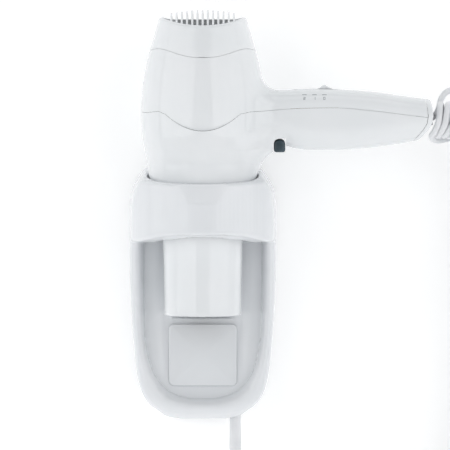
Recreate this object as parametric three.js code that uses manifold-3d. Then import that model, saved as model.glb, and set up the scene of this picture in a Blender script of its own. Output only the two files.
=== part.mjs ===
// Hair dryer hanging in its wall holder.
// Millimetres, +Z up. The front faces -Y and the wall is the plane Y = 0.
// The origin is the middle of the flat rear face of the wall plate.
import * as THREE from 'three';
import { mergeVertices } from 'three/addons/utils/BufferGeometryUtils.js';
import Module from 'manifold-3d';

const wasm = await Module();
wasm.setup();

// ---- Driving dimensions -------------------------------------------------
const BODY_LENGTH = 229;      // outlet to the top of the inlet slats
const BARREL_R = 46.2;        // widest part of the barrel
const NOZZLE_R = 28.5;        // outlet mouth
const HANDLE_LENGTH = 126.5;   // barrel to the end of the grip
const HANDLE_HEIGHT = 45.5;   // grip, top to underside
const HANDLE_DEPTH = 36;      // grip, front to back
const PLATE_HEIGHT = 186;     // holder, top to bottom
const COVER_DEPTH = 40;       // holder cover, from the wall to its side bands
const SHELL = 2.2;            // wall of the dryer's shells
const COVER_WALL = 2.5;       // wall of the holder cover
const SWITCH_TRAVEL = 14.9;   // slide knob, off to full heat
const BUTTON_TRAVEL = 4;      // safety button
const COIL_R = 14.6;          // outside of the spiral cord's coil
const CORD_R = 2.4;           // the cord itself

// ---- Clearances ---------------------------------------------------------
const GAP = 0.3;              // between pieces that touch
const SLIDE_FIT = 0.4;        // round pieces that slide
const RING_FIT = 1.2;         // dryer in the holder's ring
const AXIS_WALL = 10.8;       // back of the barrel to the wall

// ---- Places worked out from them ----------------------------------------
const AXIS_Y = -(BARREL_R + AXIS_WALL);
const PLATE_TOP_Z = PLATE_HEIGHT / 2;
const PLATE_BOTTOM_Z = -PLATE_HEIGHT / 2;
const PLATE_HALF = BARREL_R + 9;
const MOUTH_Z = PLATE_TOP_Z - 0.4716 * BODY_LENGTH;
const station = (fraction) => MOUTH_Z + fraction * BODY_LENGTH;
const handleX = (fraction) => BARREL_R + fraction * HANDLE_LENGTH;
const HANDLE_Z = station(0.64);
const handleZ = (fraction) => HANDLE_Z + fraction * HANDLE_HEIGHT;
const NOZZLE_JOINT_Z = station(0.29);
const RING_LIP_Z = station(0.27);
const UP = new THREE.Vector3(0, 0, 1);
const FAR = 400;              // past the end of everything

// Barrel outline: [fraction of the length, fraction of the widest radius].
const MOUTH = NOZZLE_R / BARREL_R;
const BARREL = [
  [0, MOUTH], [0.253, MOUTH * 1.053], [0.336, 0.745], [0.441, 0.866], [0.502, 0.9],
  [0.541, 0.94], [0.598, 0.979], [0.668, 1], [0.755, 0.974], [0.817, 0.918],
  [0.86, 0.869], [0.9, 0.812], [0.939, 0.755], [0.965, 0.721],
];

// Grip outline: [fraction along the grip, height as a fraction of HANDLE_HEIGHT].
const GRIP_TOP = [
  [-0.2917, 0.66], [-0.0292, 0.58], [0.0778, 0.487], [0.3286, 0.508], [0.4463, 0.494],
  [0.6835, 0.437], [0.8022, 0.389], [0.9918, 0.32],
];
const GRIP_UNDERSIDE = [
  [-0.2917, -0.75], [-0.0331, -0.607], [-0.0039, -0.502], [0.0486, -0.409], [0.1245, -0.387],
  [0.1896, -0.475], [0.3578, -0.497], [0.5037, -0.486], [0.6835, -0.436], [0.8022, -0.391],
  [0.9918, -0.32],
];

// ---- Small helpers ------------------------------------------------------
const point = (x, y, z) => new THREE.Vector3(x, y, z);

// Height of a broken line, given as [place, height] pairs, at one place.
function along(line, place) {
  let next = line.findIndex(([at]) => at >= place);
  if (next < 0) return line[line.length - 1][1];
  next = Math.max(next, 1);
  const [a, low] = line[next - 1];
  const [b, high] = line[next];
  return low + (high - low) * Math.min(Math.max((place - a) / (b - a), 0), 1);
}

const barrelRadius = (z) => BARREL_R * along(BARREL, (z - MOUTH_Z) / BODY_LENGTH);

// A three.js geometry as a solid that can be joined and cut, its faces pointing out.
function solid(geometry) {
  geometry.deleteAttribute('normal');
  geometry.deleteAttribute('uv');
  const merged = mergeVertices(geometry, 1e-3);
  const index = Array.from(merged.index.array);
  const kept = [];
  for (let i = 0; i < index.length; i += 3) {
    const [a, b, c] = index.slice(i, i + 3);
    if (a !== b && b !== c && c !== a) kept.push(a, b, c);
  }
  const closed = (triangles) => new wasm.Manifold(new wasm.Mesh({
    numProp: 3,
    vertProperties: new Float32Array(merged.attributes.position.array),
    triVerts: new Uint32Array(triangles),
  }));
  const body = closed(kept);
  return body.volume() > 0 ? body : closed(kept.reverse());
}

// Back to a three.js geometry.
function geometryOf(body) {
  const mesh = body.getMesh();
  const geometry = new THREE.BufferGeometry();
  geometry.setAttribute('position', new THREE.Float32BufferAttribute(mesh.vertProperties, 3));
  geometry.setIndex(Array.from(mesh.triVerts));
  return geometry;
}

const join = (...solids) => solids.reduce((all, next) => all.add(next));

// Solid of revolution from [radius, height] pairs, standing at a point along a direction.
function turned(profile, sides, at = point(0, 0, 0), direction = UP) {
  const geometry = new THREE.LatheGeometry(profile.map(([r, h]) => new THREE.Vector2(r, h)), sides);
  const turn = new THREE.Quaternion().setFromUnitVectors(point(0, 1, 0), direction);
  return solid(geometry.applyQuaternion(turn).translate(at.x, at.y, at.z));
}

// Closed tube wall.
function pipe(outer, inner, low, high, sides, at, direction) {
  const wall = [[inner, low], [outer, low], [outer, high], [inner, high], [inner, low]];
  return turned(wall, sides, at, direction);
}

const disc = (radius, low, high, sides, at, direction) =>
  turned([[0, low], [radius, low], [radius, high], [0, high]], sides, at, direction);

function box(x0, x1, y0, y1, z0, z1) {
  const geometry = new THREE.BoxGeometry(x1 - x0, y1 - y0, z1 - z0);
  return solid(geometry.translate((x0 + x1) / 2, (y0 + y1) / 2, (z0 + z1) / 2));
}

// An outline drawn in X and Z, extruded from the plane Y = back to Y = front.
function slab(shape, back, front, segments = 6) {
  const geometry = new THREE.ExtrudeGeometry(shape,
    { depth: back - front, bevelEnabled: false, curveSegments: segments });
  return solid(geometry.rotateX(Math.PI / 2).translate(0, back, 0));
}

// An outline drawn in Y and Z, extruded along X.
function sideSlab(points, x0, x1) {
  const shape = new THREE.Shape(points.map(([y, z]) => new THREE.Vector2(y, z)));
  const geometry = new THREE.ExtrudeGeometry(shape, { depth: x1 - x0, bevelEnabled: false });
  geometry.applyMatrix4(new THREE.Matrix4().set(0, 0, 1, x0, 1, 0, 0, 0, 0, 1, 0, 0, 0, 0, 0, 1));
  return solid(geometry);
}

// A closed skin over rings that all have the same number of points.
function skinned(rings) {
  const count = rings[0].length;
  const positions = rings.flat().flatMap((p) => [p.x, p.y, p.z]);
  const index = [];
  for (let r = 0; r + 1 < rings.length; r++) {
    for (let i = 0; i < count; i++) {
      const a = r * count + i;
      const b = r * count + ((i + 1) % count);
      index.push(a, b, b + count, a, b + count, a + count);
    }
  }
  const last = (rings.length - 1) * count;
  for (let i = 1; i + 1 < count; i++) {
    index.push(0, i + 1, i);
    index.push(last, last + i, last + i + 1);
  }
  const geometry = new THREE.BufferGeometry();
  geometry.setAttribute('position', new THREE.Float32BufferAttribute(positions, 3));
  geometry.setIndex(index);
  return solid(geometry);
}

// A round bar along a route of points.
function rope(points, radius, sides, steps) {
  const circle = new THREE.Shape();
  for (let i = 0; i < sides; i++) {
    const angle = (2 * Math.PI * i) / sides;
    const at = [radius * Math.cos(angle), radius * Math.sin(angle)];
    if (i === 0) circle.moveTo(...at);
    else circle.lineTo(...at);
  }
  circle.closePath();
  const route = new THREE.CatmullRomCurve3(points, false, 'centripetal');
  return solid(new THREE.ExtrudeGeometry(circle, { steps, bevelEnabled: false, extrudePath: route }));
}

// A screw: its head stands at the point and its tip points against the direction.
function screw(headR, shankR, length, at, direction) {
  const head = 0.9 * headR;
  return turned([[0, -length], [shankR, -length], [shankR, 0], [headR, 0], [headR, head],
    [0, head]], 8, at, direction);
}

const object = new THREE.Group();

function add(name, body, material) {
  const mesh = new THREE.Mesh(geometryOf(body), material);
  mesh.name = name;
  object.add(mesh);
}

const finish = (color, roughness, metalness = 0) =>
  new THREE.MeshStandardMaterial({ color, roughness, metalness });

const LOOK = {
  shell: () => finish(0xe8eaec, 0.3),
  holder: () => finish(0xe4e6e9, 0.35),
  slate: () => finish(0x3a4a53, 0.45),
  cord: () => finish(0xdfe1e4, 0.4),
  inner: () => finish(0x3c3c40, 0.6),
  mica: () => finish(0xcdb98a, 0.7),
  steel: () => finish(0xa9adb2, 0.35, 1),
  wire: () => finish(0x8e8a86, 0.4, 1),
  board: () => finish(0x8f6d3a, 0.6),
  brass: () => finish(0xb8954a, 0.35, 1),
};

// ---- Dryer body: the outside and the inside, before it is split ----------
const AXIS = point(0, AXIS_Y, 0);
const BARREL_SIDES = 28;
const TOP_OF_BARREL = station(0.965);

function barrel(shrink) {
  const wall = BARREL.map(([f, r]) => [r * BARREL_R - shrink, station(f)]);
  const low = shrink ? MOUTH_Z - 1 : MOUTH_Z;
  const high = shrink ? TOP_OF_BARREL + 5 : TOP_OF_BARREL;
  const first = [wall[0][0], low];
  const last = [wall[wall.length - 1][0], high];
  return turned([[0, low], first, ...wall.slice(1, -1), last, [0, high]], BARREL_SIDES, AXIS);
}

// One cross-section of the grip, with its chamfered edges.
function gripRing(f, shrink) {
  const top = handleZ(along(GRIP_TOP, f)) - shrink;
  const bottom = handleZ(along(GRIP_UNDERSIDE, f)) + shrink;
  const half = HANDLE_DEPTH / 2 - shrink;
  const height = top - bottom;
  const side = [[0.55, top], [0.87, top - 0.06 * height], [1, top - 0.16 * height],
    [1, bottom + 0.24 * height], [0.87, bottom + 0.08 * height], [0.5, bottom]];
  const back = side.map(([d, z]) => point(handleX(f), AXIS_Y + d * half, z));
  const front = side.reverse().map(([d, z]) => point(handleX(f), AXIS_Y - d * half, z));
  return [...back, ...front];
}

function grip(shrink) {
  const places = [-0.2917, -0.0292, 0.0486, 0.1245, 0.1896, 0.3286, 0.4463, 0.6835, 0.8022, 1.02];
  return skinned(places.map((f) => gripRing(f, shrink)));
}

// Everything right of the grip's slanted end, moved back by a distance.
function pastTheEnd(back) {
  const shape = new THREE.Shape([[3, 1], [0.962, 1], [0.982, 0.33], [1, 0.043], [0.914, -0.342],
    [0.83, -0.7], [3, -0.7]].map(([f, h]) => new THREE.Vector2(handleX(f) - back, handleZ(h))));
  return slab(shape, FAR, -FAR);
}

// ---- Seams ----------------------------------------------------------------
const SEAM_Z = station(0.6655);
const SMILE_HALF = 0.61 * BARREL_R;
const SMILE_DIP = 13.9;
const SMILE_RISE = 5.7;

// The region under the middle seam; the seam is lifted by a distance.
function underSeam(lift) {
  const shape = new THREE.Shape();
  shape.moveTo(-FAR, -FAR);
  shape.lineTo(-FAR, SEAM_Z + lift);
  shape.lineTo(-0.96 * BARREL_R, SEAM_Z + lift);
  shape.lineTo(-0.68 * BARREL_R, SEAM_Z + 1.5 + lift);
  shape.lineTo(-SMILE_HALF, SEAM_Z - 0.3 + lift);
  shape.quadraticCurveTo(0, SEAM_Z - 2 * SMILE_DIP + lift, SMILE_HALF, SEAM_Z - 0.3 + lift);
  for (const [f, rise] of [[-0.019, 1.3], [0.044, 1.9], [0.209, 3.2], [0.408, 3.6], [0.651, 1.2],
    [1, -4.1]]) {
    shape.lineTo(handleX(f), SEAM_Z + rise + lift);
  }
  shape.lineTo(FAR, SEAM_Z - 4.1 + lift);
  shape.lineTo(FAR, -FAR);
  return slab(shape, FAR, -FAR, 10);
}

// The crescent between the seam's dip and a flatter arc above it.
function smile() {
  const shape = new THREE.Shape();
  shape.moveTo(-SMILE_HALF, SEAM_Z - 0.3);
  shape.quadraticCurveTo(0, SEAM_Z - 2 * SMILE_DIP - 3, SMILE_HALF, SEAM_Z - 0.3);
  shape.quadraticCurveTo(0, SEAM_Z - 2 * SMILE_RISE, -SMILE_HALF, SEAM_Z - 0.3);
  return slab(shape, AXIS_Y, -FAR, 8);
}

const CAP_SEAM_Z = station(0.874);
const CAP_DIP = 8.6;
const CAP_HALF = 0.69 * BARREL_R;

// The region over the inlet cap's wavy seam.
function overCapSeam(lift) {
  const shape = new THREE.Shape();
  shape.moveTo(-FAR, FAR);
  shape.lineTo(-FAR, CAP_SEAM_Z - 1.5 + lift);
  shape.lineTo(-0.88 * BARREL_R, CAP_SEAM_Z - 1.5 + lift);
  shape.lineTo(-CAP_HALF, CAP_SEAM_Z + lift);
  shape.quadraticCurveTo(0, CAP_SEAM_Z - 2 * CAP_DIP + lift, CAP_HALF, CAP_SEAM_Z + lift);
  shape.lineTo(0.88 * BARREL_R, CAP_SEAM_Z - 1.5 + lift);
  shape.lineTo(FAR, CAP_SEAM_Z - 1.5 + lift);
  shape.lineTo(FAR, FAR);
  return slab(shape, FAR, -FAR, 8);
}

// ---- Button and slider places ---------------------------------------------
const BUTTON_X = handleX(0.0856);
const BUTTON_LENGTH = 8.6;
const BUTTON_HALF = 13;
const ARCH_HALF = 5.6;
const ARCH_Z = handleZ(-0.304);
const BUTTON_LOW_Z = handleZ(-0.53);
const BUTTON_FLANGE_Z = ARCH_Z + SHELL + GAP;
const KNOB_X = handleX(0.355);
const KNOB_LENGTH = 13.4;
const TRACK_Z = handleZ(0.487);
const TRACK_X = [handleX(0.1604), handleX(0.4385)];
const SCREW_X = [handleX(0.5056), handleX(0.7681)];
const END_COLLAR = 3.75;
const CORD_Z = handleZ(0);

// The groove over the push-button, grown by a wall where the inside is made.
function arch(grow) {
  const shape = new THREE.Shape();
  const half = ARCH_HALF + grow;
  shape.moveTo(BUTTON_X - half, -FAR);
  shape.lineTo(BUTTON_X - half, ARCH_Z - 4 + grow);
  shape.quadraticCurveTo(BUTTON_X - half, ARCH_Z + grow, BUTTON_X, ARCH_Z + grow);
  shape.quadraticCurveTo(BUTTON_X + half, ARCH_Z + grow, BUTTON_X + half, ARCH_Z - 4 + grow);
  shape.lineTo(BUTTON_X + half, -FAR);
  return slab(shape, FAR, -FAR, 4);
}

// ---- Dryer shells -----------------------------------------------------------
const outside = barrel(0).add(grip(0));
const inside = barrel(SHELL).add(grip(SHELL).subtract(arch(SHELL)));
const shell = outside.subtract(inside).subtract(arch(0).intersect(grip(-1)
  .subtract(barrel(0))));
const seamCut = 0.2;

function rearShell() {
  let body = shell.subtract(underSeam(seamCut)).subtract(overCapSeam(-seamCut));
  body = body.subtract(pastTheEnd(END_COLLAR + GAP));
  body = body.subtract(smile().subtract(barrel(0.8)));
  for (const x of SCREW_X) {
    const at = point(x, AXIS_Y, 0);
    const roof = handleZ(along(GRIP_TOP, (x - BARREL_R) / HANDLE_LENGTH)) - SHELL / 2;
    body = body.add(disc(4, SEAM_Z + 4.5, roof, 12, at));
    body = body.subtract(disc(1.7, SEAM_Z, roof - 3, 8, at));
  }
  body = body.subtract(box(...TRACK_X, AXIS_Y - 5.4, AXIS_Y + 5.4, TRACK_Z, TRACK_Z + 5));
  const slot = [KNOB_X - SWITCH_TRAVEL - 3.6, KNOB_X + 3.6];
  return body.subtract(box(...slot, AXIS_Y - 2.2, AXIS_Y + 2.2, TRACK_Z - 5, TRACK_Z + 1));
}

function frontShell() {
  let body = shell.intersect(underSeam(-seamCut)).subtract(pastTheEnd(END_COLLAR + GAP));
  body = body.subtract(box(-FAR, FAR, -FAR, FAR, -FAR, NOZZLE_JOINT_Z + GAP));
  const half = BUTTON_LENGTH / 2 + GAP;
  body = body.subtract(box(BUTTON_X - half, BUTTON_X + half, AXIS_Y - BUTTON_HALF - GAP,
    AXIS_Y + BUTTON_HALF + GAP, ARCH_Z - 8, ARCH_Z + 8));
  for (const x of SCREW_X) {
    const at = point(x, AXIS_Y, 0);
    const floor = handleZ(along(GRIP_UNDERSIDE, (x - BARREL_R) / HANDLE_LENGTH));
    body = body.add(disc(5, floor + SHELL / 2, SEAM_Z + 4.2, 12, at)
      .intersect(underSeam(-seamCut)));
    body = body.subtract(disc(3.6, floor - 5, floor + 5, 10, at));
    body = body.subtract(disc(1.7, floor, FAR, 8, at));
  }
  return body;
}

function outletNozzle() {
  const wall = barrel(0).subtract(barrel(SHELL));
  return wall.subtract(box(-FAR, FAR, -FAR, FAR, NOZZLE_JOINT_Z, FAR));
}

add('rear_shell', rearShell(), LOOK.shell());
add('front_shell', frontShell(), LOOK.shell());
add('outlet_nozzle', outletNozzle(), LOOK.shell());

function endCollar() {
  let body = grip(0).intersect(pastTheEnd(END_COLLAR)).subtract(pastTheEnd(0));
  return body.subtract(disc(4.8, -30, 30, 12, point(handleX(1), AXIS_Y, CORD_Z), point(1, 0, 0)));
}
add('handle_end_collar', endCollar(), LOOK.shell());

// ---- Inlet cap ----------------------------------------------------------------
const SLATS = 13;
const SLAT_PITCH = 3.9;
const SLAT_THICK = 1.5;
const LIP_Z = station(0.943);
const LIP_RISE = 6.6;
const CROWN_Z = MOUTH_Z + BODY_LENGTH;
const MOUTH_OF_CAP = barrelRadius(TOP_OF_BARREL);

function rearCap() {
  const lip = new THREE.Shape();
  lip.moveTo(-FAR, FAR);
  lip.lineTo(-FAR, LIP_Z + LIP_RISE);
  lip.lineTo(-MOUTH_OF_CAP, LIP_Z + LIP_RISE);
  lip.quadraticCurveTo(0, LIP_Z - LIP_RISE, MOUTH_OF_CAP, LIP_Z + LIP_RISE);
  lip.lineTo(FAR, LIP_Z + LIP_RISE);
  lip.lineTo(FAR, FAR);
  let body = barrel(0).subtract(barrel(SHELL)).intersect(overCapSeam(seamCut));
  const skirtR = barrelRadius(CAP_SEAM_Z) - SHELL - SLIDE_FIT;
  const skirtLow = CAP_SEAM_Z - CAP_DIP - 4;
  body = body.add(pipe(skirtR, skirtR - 1.6, skirtLow, CAP_SEAM_Z + 2, BARREL_SIDES, AXIS));
  body = body.add(pipe(skirtR + 1, skirtR - 1.6, CAP_SEAM_Z + 0.5, CAP_SEAM_Z + 2,
    BARREL_SIDES, AXIS));
  body = body.subtract(slab(lip, FAR, -FAR, 8));
  const reach = MOUTH_OF_CAP - SHELL / 2;
  for (let i = 0; i < SLATS; i++) {
    const x = (i - (SLATS - 1) / 2) * SLAT_PITCH;
    const half = Math.sqrt(reach ** 2 - x ** 2);
    const foot = LIP_Z + LIP_RISE * (x / MOUTH_OF_CAP) ** 2;
    const crown = CROWN_Z - 2.6 * (x / MOUTH_OF_CAP) ** 2;
    const arc = [];
    for (let k = -3; k <= 3; k++) arc.push([k / 3, crown - (crown - foot) * (k / 3) ** 2]);
    const over = arc.map(([k, z]) => [AXIS_Y + k * half, z]);
    const under = arc.map(([k, z]) => [AXIS_Y + k * half, z - 2.4]).reverse();
    body = body.add(sideSlab([...over, ...under], x - SLAT_THICK / 2, x + SLAT_THICK / 2));
  }
  for (const side of [-1, 1]) {
    const y = AXIS_Y + side * 0.6 * MOUTH_OF_CAP;
    const half = 0.77 * MOUTH_OF_CAP;
    body = body.add(box(-half, half, y - 0.7, y + 0.7, LIP_Z + 4.6, LIP_Z + 6.6));
  }
  return body;
}
add('rear_cap', rearCap(), LOOK.shell());

const FILTER_Z = station(0.91);
add('inlet_filter', disc(barrelRadius(FILTER_Z) - SHELL - 1, FILTER_Z, FILTER_Z + 1, 24, AXIS),
  LOOK.inner());

// ---- Fan -------------------------------------------------------------------------
const FAN_Z = [station(0.72), station(0.785)];
const MOUNT_Z = [station(0.565), station(0.7)];
const MOTOR_R = 0.295 * BARREL_R;
const SHAFT_R = 1.2;

function impeller() {
  let body = turned([[SHAFT_R + GAP, FAN_Z[0]], [11, FAN_Z[0]], [11, FAN_Z[1] - 3],
    [7, FAN_Z[1]], [0, FAN_Z[1]], [0, FAN_Z[1] - 1.6], [SHAFT_R + GAP, FAN_Z[1] - 1.6],
    [SHAFT_R + GAP, FAN_Z[0]]], 20, AXIS);
  const blades = 9;
  const reach = barrelRadius(FAN_Z[1]) - SHELL - 3.5 - 9;
  for (let i = 0; i < blades; i++) {
    const blade = new THREE.BoxGeometry(reach, 1.4, 14);
    blade.rotateX(0.7).translate(9 + reach / 2, 0, (FAN_Z[0] + FAN_Z[1]) / 2);
    blade.rotateZ((2 * Math.PI * i) / blades).translate(0, AXIS_Y, 0);
    body = body.add(solid(blade));
  }
  return body;
}

function motorMount() {
  const wall = [];
  for (const z of [MOUNT_Z[0], station(0.6), station(0.668), MOUNT_Z[1]]) {
    wall.push([barrelRadius(z) - SHELL - 0.5, z]);
  }
  const back = wall.map(([r, z]) => [r - 1.8, z]).reverse();
  let body = turned([...wall, ...back, wall[0]], BARREL_SIDES, AXIS);
  const cup = MOTOR_R + GAP;
  body = body.add(turned([[4, MOUNT_Z[0]], [cup + 1.5, MOUNT_Z[0]], [cup + 1.5, MOUNT_Z[1]],
    [cup, MOUNT_Z[1]], [cup, MOUNT_Z[0] + 2], [4, MOUNT_Z[0] + 2], [4, MOUNT_Z[0]]], 20, AXIS));
  const vanes = 7;
  const reach = barrelRadius(MOUNT_Z[0]) - SHELL - 1 - (cup + 0.7);
  for (let i = 0; i < vanes; i++) {
    const vane = new THREE.BoxGeometry(reach, 1.5, 16);
    vane.rotateX(-0.35).translate(cup + 0.7 + reach / 2, 0, station(0.62));
    vane.rotateZ((2 * Math.PI * i) / vanes).translate(0, AXIS_Y, 0);
    body = body.add(solid(vane));
  }
  return body;
}

add('impeller', impeller(), LOOK.inner());
add('motor_shaft', disc(SHAFT_R, MOUNT_Z[0] + 4, FAN_Z[1] - 2, 8, AXIS), LOOK.steel());
add('motor_mount', motorMount(), LOOK.inner());
add('motor', pipe(MOTOR_R, SHAFT_R + GAP, MOUNT_Z[0] + 2 + GAP, MOUNT_Z[1] - 2, 18, AXIS),
  LOOK.steel());

// ---- Heater ---------------------------------------------------------------------
const MICA_R = NOZZLE_R - SHELL - 0.4;
const HEATER_Z = [station(0.09), station(0.37)];
const COIL_MEAN_R = 0.85 * MICA_R;

// Two crossed sheets: wide ears at both ends, a narrower core that the coil goes round.
function micaFrame() {
  const [low, high] = HEATER_Z;
  const ear = MICA_R - 0.6 - GAP;
  const core = COIL_MEAN_R - 2.6;
  const half = [[ear, low], [ear, low + 6], [core, low + 6], [core, high - 6], [ear, high - 6],
    [ear, high]];
  const outline = [...half, ...half.map(([w, z]) => [-w, z]).reverse()];
  const shape = new THREE.Shape(outline.map(([w, z]) => new THREE.Vector2(w, z)));
  const across = slab(shape, AXIS_Y + 0.5, AXIS_Y - 0.5);
  const forward = sideSlab(outline.map(([w, z]) => [AXIS_Y + w, z]), -0.5, 0.5);
  return across.add(forward);
}

function heaterCoil() {
  const turns = 6;
  const low = HEATER_Z[0] + 9;
  const rise = HEATER_Z[1] - HEATER_Z[0] - 18;
  const route = [];
  for (let i = 0; i <= turns * 10; i++) {
    const angle = (2 * Math.PI * i) / 10;
    route.push(point(COIL_MEAN_R * Math.cos(angle), AXIS_Y + COIL_MEAN_R * Math.sin(angle),
      low + (rise * i) / (turns * 10)));
  }
  return rope(route, 0.7, 5, turns * 10);
}

function outletGrille() {
  const z = station(0.045);
  let body = pipe(MICA_R, MICA_R - 1.6, z, z + 3, 20, AXIS);
  body = body.add(pipe(0.5 * MICA_R, 0.5 * MICA_R - 1.2, z, z + 2, 12, AXIS));
  for (let i = 0; i < 4; i++) {
    const bar = new THREE.BoxGeometry(2 * MICA_R - 1.6, 1.2, 2);
    bar.rotateZ((Math.PI * i) / 4).translate(0, AXIS_Y, z + 1);
    body = body.add(solid(bar));
  }
  return body;
}

add('mica_tube', pipe(MICA_R, MICA_R - 0.6, station(0.075), station(0.39), 24, AXIS), LOOK.mica());
add('mica_frame', micaFrame(), LOOK.mica());
add('heater_coil', heaterCoil(), LOOK.wire());
add('thermal_cutout', box(3, 11, AXIS_Y - 9, AXIS_Y - 3, HEATER_Z[1] - 14, HEATER_Z[1] - 1),
  LOOK.brass());
add('outlet_grille', outletGrille(), LOOK.inner());

// ---- Switches in the grip ---------------------------------------------------------
const BOARD_Z = SEAM_Z + 2;
const STEM_LOW_Z = TRACK_Z - 6.5;

function slideKnob() {
  const [low, foot, peak] = [TRACK_Z + GAP, TRACK_Z + 1.4, handleZ(0.576)];
  const shape = new THREE.Shape();
  const [left, right] = [KNOB_X - KNOB_LENGTH / 2, KNOB_X + KNOB_LENGTH / 2];
  shape.moveTo(left, low);
  shape.lineTo(right, low);
  shape.lineTo(right, foot);
  shape.quadraticCurveTo(KNOB_X + 3, foot + 0.4, KNOB_X + 1, peak);
  shape.lineTo(KNOB_X - 1, peak);
  shape.quadraticCurveTo(KNOB_X - 3, foot + 0.4, left, foot);
  const body = slab(shape, AXIS_Y + 4.8, AXIS_Y - 4.8, 4);
  return body.add(box(KNOB_X - 3, KNOB_X + 3, AXIS_Y - 1.6, AXIS_Y + 1.6, STEM_LOW_Z, low + 0.4));
}

function slideSwitch() {
  const body = box(TRACK_X[0] + 1, TRACK_X[1] - 3, AXIS_Y - 6, AXIS_Y + 6, BOARD_Z + 1.9,
    STEM_LOW_Z + 2);
  const slot = [KNOB_X - SWITCH_TRAVEL - 3.4, KNOB_X + 3.4];
  return body.subtract(box(...slot, AXIS_Y - 2, AXIS_Y + 2, STEM_LOW_Z - GAP, FAR));
}

function safetyButton() {
  const half = BUTTON_LENGTH / 2;
  const shape = new THREE.Shape();
  shape.moveTo(BUTTON_X - half, BUTTON_FLANGE_Z + 0.5);
  shape.lineTo(BUTTON_X - half, BUTTON_LOW_Z + 2.5);
  shape.quadraticCurveTo(BUTTON_X - half, BUTTON_LOW_Z, BUTTON_X - half + 2.5, BUTTON_LOW_Z);
  shape.lineTo(BUTTON_X + half - 2.5, BUTTON_LOW_Z);
  shape.quadraticCurveTo(BUTTON_X + half, BUTTON_LOW_Z, BUTTON_X + half, BUTTON_LOW_Z + 2.5);
  shape.lineTo(BUTTON_X + half, BUTTON_FLANGE_Z + 0.5);
  const body = slab(shape, AXIS_Y + BUTTON_HALF, AXIS_Y - BUTTON_HALF, 3);
  return body.add(box(BUTTON_X - half - 1.2, BUTTON_X + half + 1.2, AXIS_Y - BUTTON_HALF - 1,
    AXIS_Y + BUTTON_HALF + 1, BUTTON_FLANGE_Z, BUTTON_FLANGE_Z + 1.5));
}

const SWITCH_LOW_Z = BUTTON_FLANGE_Z + 1.5 + 8.6;

function pushSwitch() {
  const body = box(BUTTON_X - 4, BUTTON_X + 6, AXIS_Y - 9, AXIS_Y + 9, SWITCH_LOW_Z,
    SWITCH_LOW_Z + 7);
  const plungerLow = BUTTON_FLANGE_Z + 1.5 + BUTTON_TRAVEL + GAP;
  return body.add(disc(1.4, plungerLow, SWITCH_LOW_Z + 1, 8, point(BUTTON_X, AXIS_Y, 0)));
}

function buttonSpring() {
  const turns = 4;
  const low = BUTTON_FLANGE_Z + 1.5 + GAP + 0.4;
  const rise = SWITCH_LOW_Z - GAP - 0.4 - low;
  const route = [];
  for (let i = 0; i <= turns * 9; i++) {
    const angle = (2 * Math.PI * i) / 9;
    route.push(point(BUTTON_X + 3 * Math.cos(angle), AXIS_Y + 3 * Math.sin(angle),
      low + (rise * i) / (turns * 9)));
  }
  return rope(route, 0.35, 5, turns * 9);
}

add('slide_knob', slideKnob(), LOOK.shell());
add('slide_switch', slideSwitch(), LOOK.inner());
add('circuit_board', box(TRACK_X[0] - 1, TRACK_X[1], AXIS_Y - 9, AXIS_Y + 9, BOARD_Z,
  BOARD_Z + 1.6), LOOK.board());
add('safety_button', safetyButton(), LOOK.slate());
add('push_switch', pushSwitch(), LOOK.inner());
add('button_spring', buttonSpring(), LOOK.steel());

SCREW_X.forEach((x, i) => {
  const floor = handleZ(along(GRIP_UNDERSIDE, (x - BARREL_R) / HANDLE_LENGTH));
  const at = point(x, AXIS_Y, floor + 5 - GAP);
  add(`shell_screw_${i + 1}`, screw(3, 1.4, 26, at, point(0, 0, -1)), LOOK.steel());
});

// ---- Wall holder --------------------------------------------------------------------
const ARM_HALF = BARREL_R + 8.8;
const PLATE_THICK = 3;
const COVER_BACK = -(PLATE_THICK + GAP);
const CHANNEL_Y = -(COVER_DEPTH + 32);
const GROOVE_R = NOZZLE_R + 8.5;
const SHELF_Z = MOUTH_Z - 3.4;
const BOSS_Y = -30;
const BOSS_HALF = 28;
const PANEL = { half: 25.6, low: -69.9, high: -23.4, thick: 2 };
const CORD_EXIT_X = 24.5;
const CORD_EXIT_Y = -20;

// Half of the holder's outline: [fraction of the half width, fraction of the height].
function holderOutline(inset) {
  const half = PLATE_HALF - inset;
  const spot = (w, h) => [w * half, PLATE_BOTTOM_Z + inset + h * (PLATE_HEIGHT - 2 * inset)];
  const shape = new THREE.Shape();
  shape.moveTo(...spot(-0.3, 0));
  shape.lineTo(...spot(0.3, 0));
  shape.quadraticCurveTo(...spot(0.72, 0), ...spot(0.81, 0.085));
  shape.quadraticCurveTo(...spot(0.875, 0.145), ...spot(0.917, 0.236));
  shape.quadraticCurveTo(...spot(0.96, 0.37), ...spot(0.978, 0.478));
  shape.quadraticCurveTo(...spot(1, 0.57), ...spot(1, 0.64));
  shape.lineTo(...spot(0.984, 0.84));
  shape.quadraticCurveTo(...spot(0.972, 0.9), ...spot(0.91, 0.937));
  shape.lineTo(...spot(0.784, 1));
  shape.lineTo(...spot(-0.784, 1));
  shape.lineTo(...spot(-0.91, 0.937));
  shape.quadraticCurveTo(...spot(-0.972, 0.9), ...spot(-0.984, 0.84));
  shape.lineTo(...spot(-1, 0.64));
  shape.quadraticCurveTo(...spot(-1, 0.57), ...spot(-0.978, 0.478));
  shape.quadraticCurveTo(...spot(-0.96, 0.37), ...spot(-0.917, 0.236));
  shape.quadraticCurveTo(...spot(-0.875, 0.145), ...spot(-0.81, 0.085));
  shape.quadraticCurveTo(...spot(-0.72, 0), ...spot(-0.3, 0));
  return shape;
}

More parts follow.
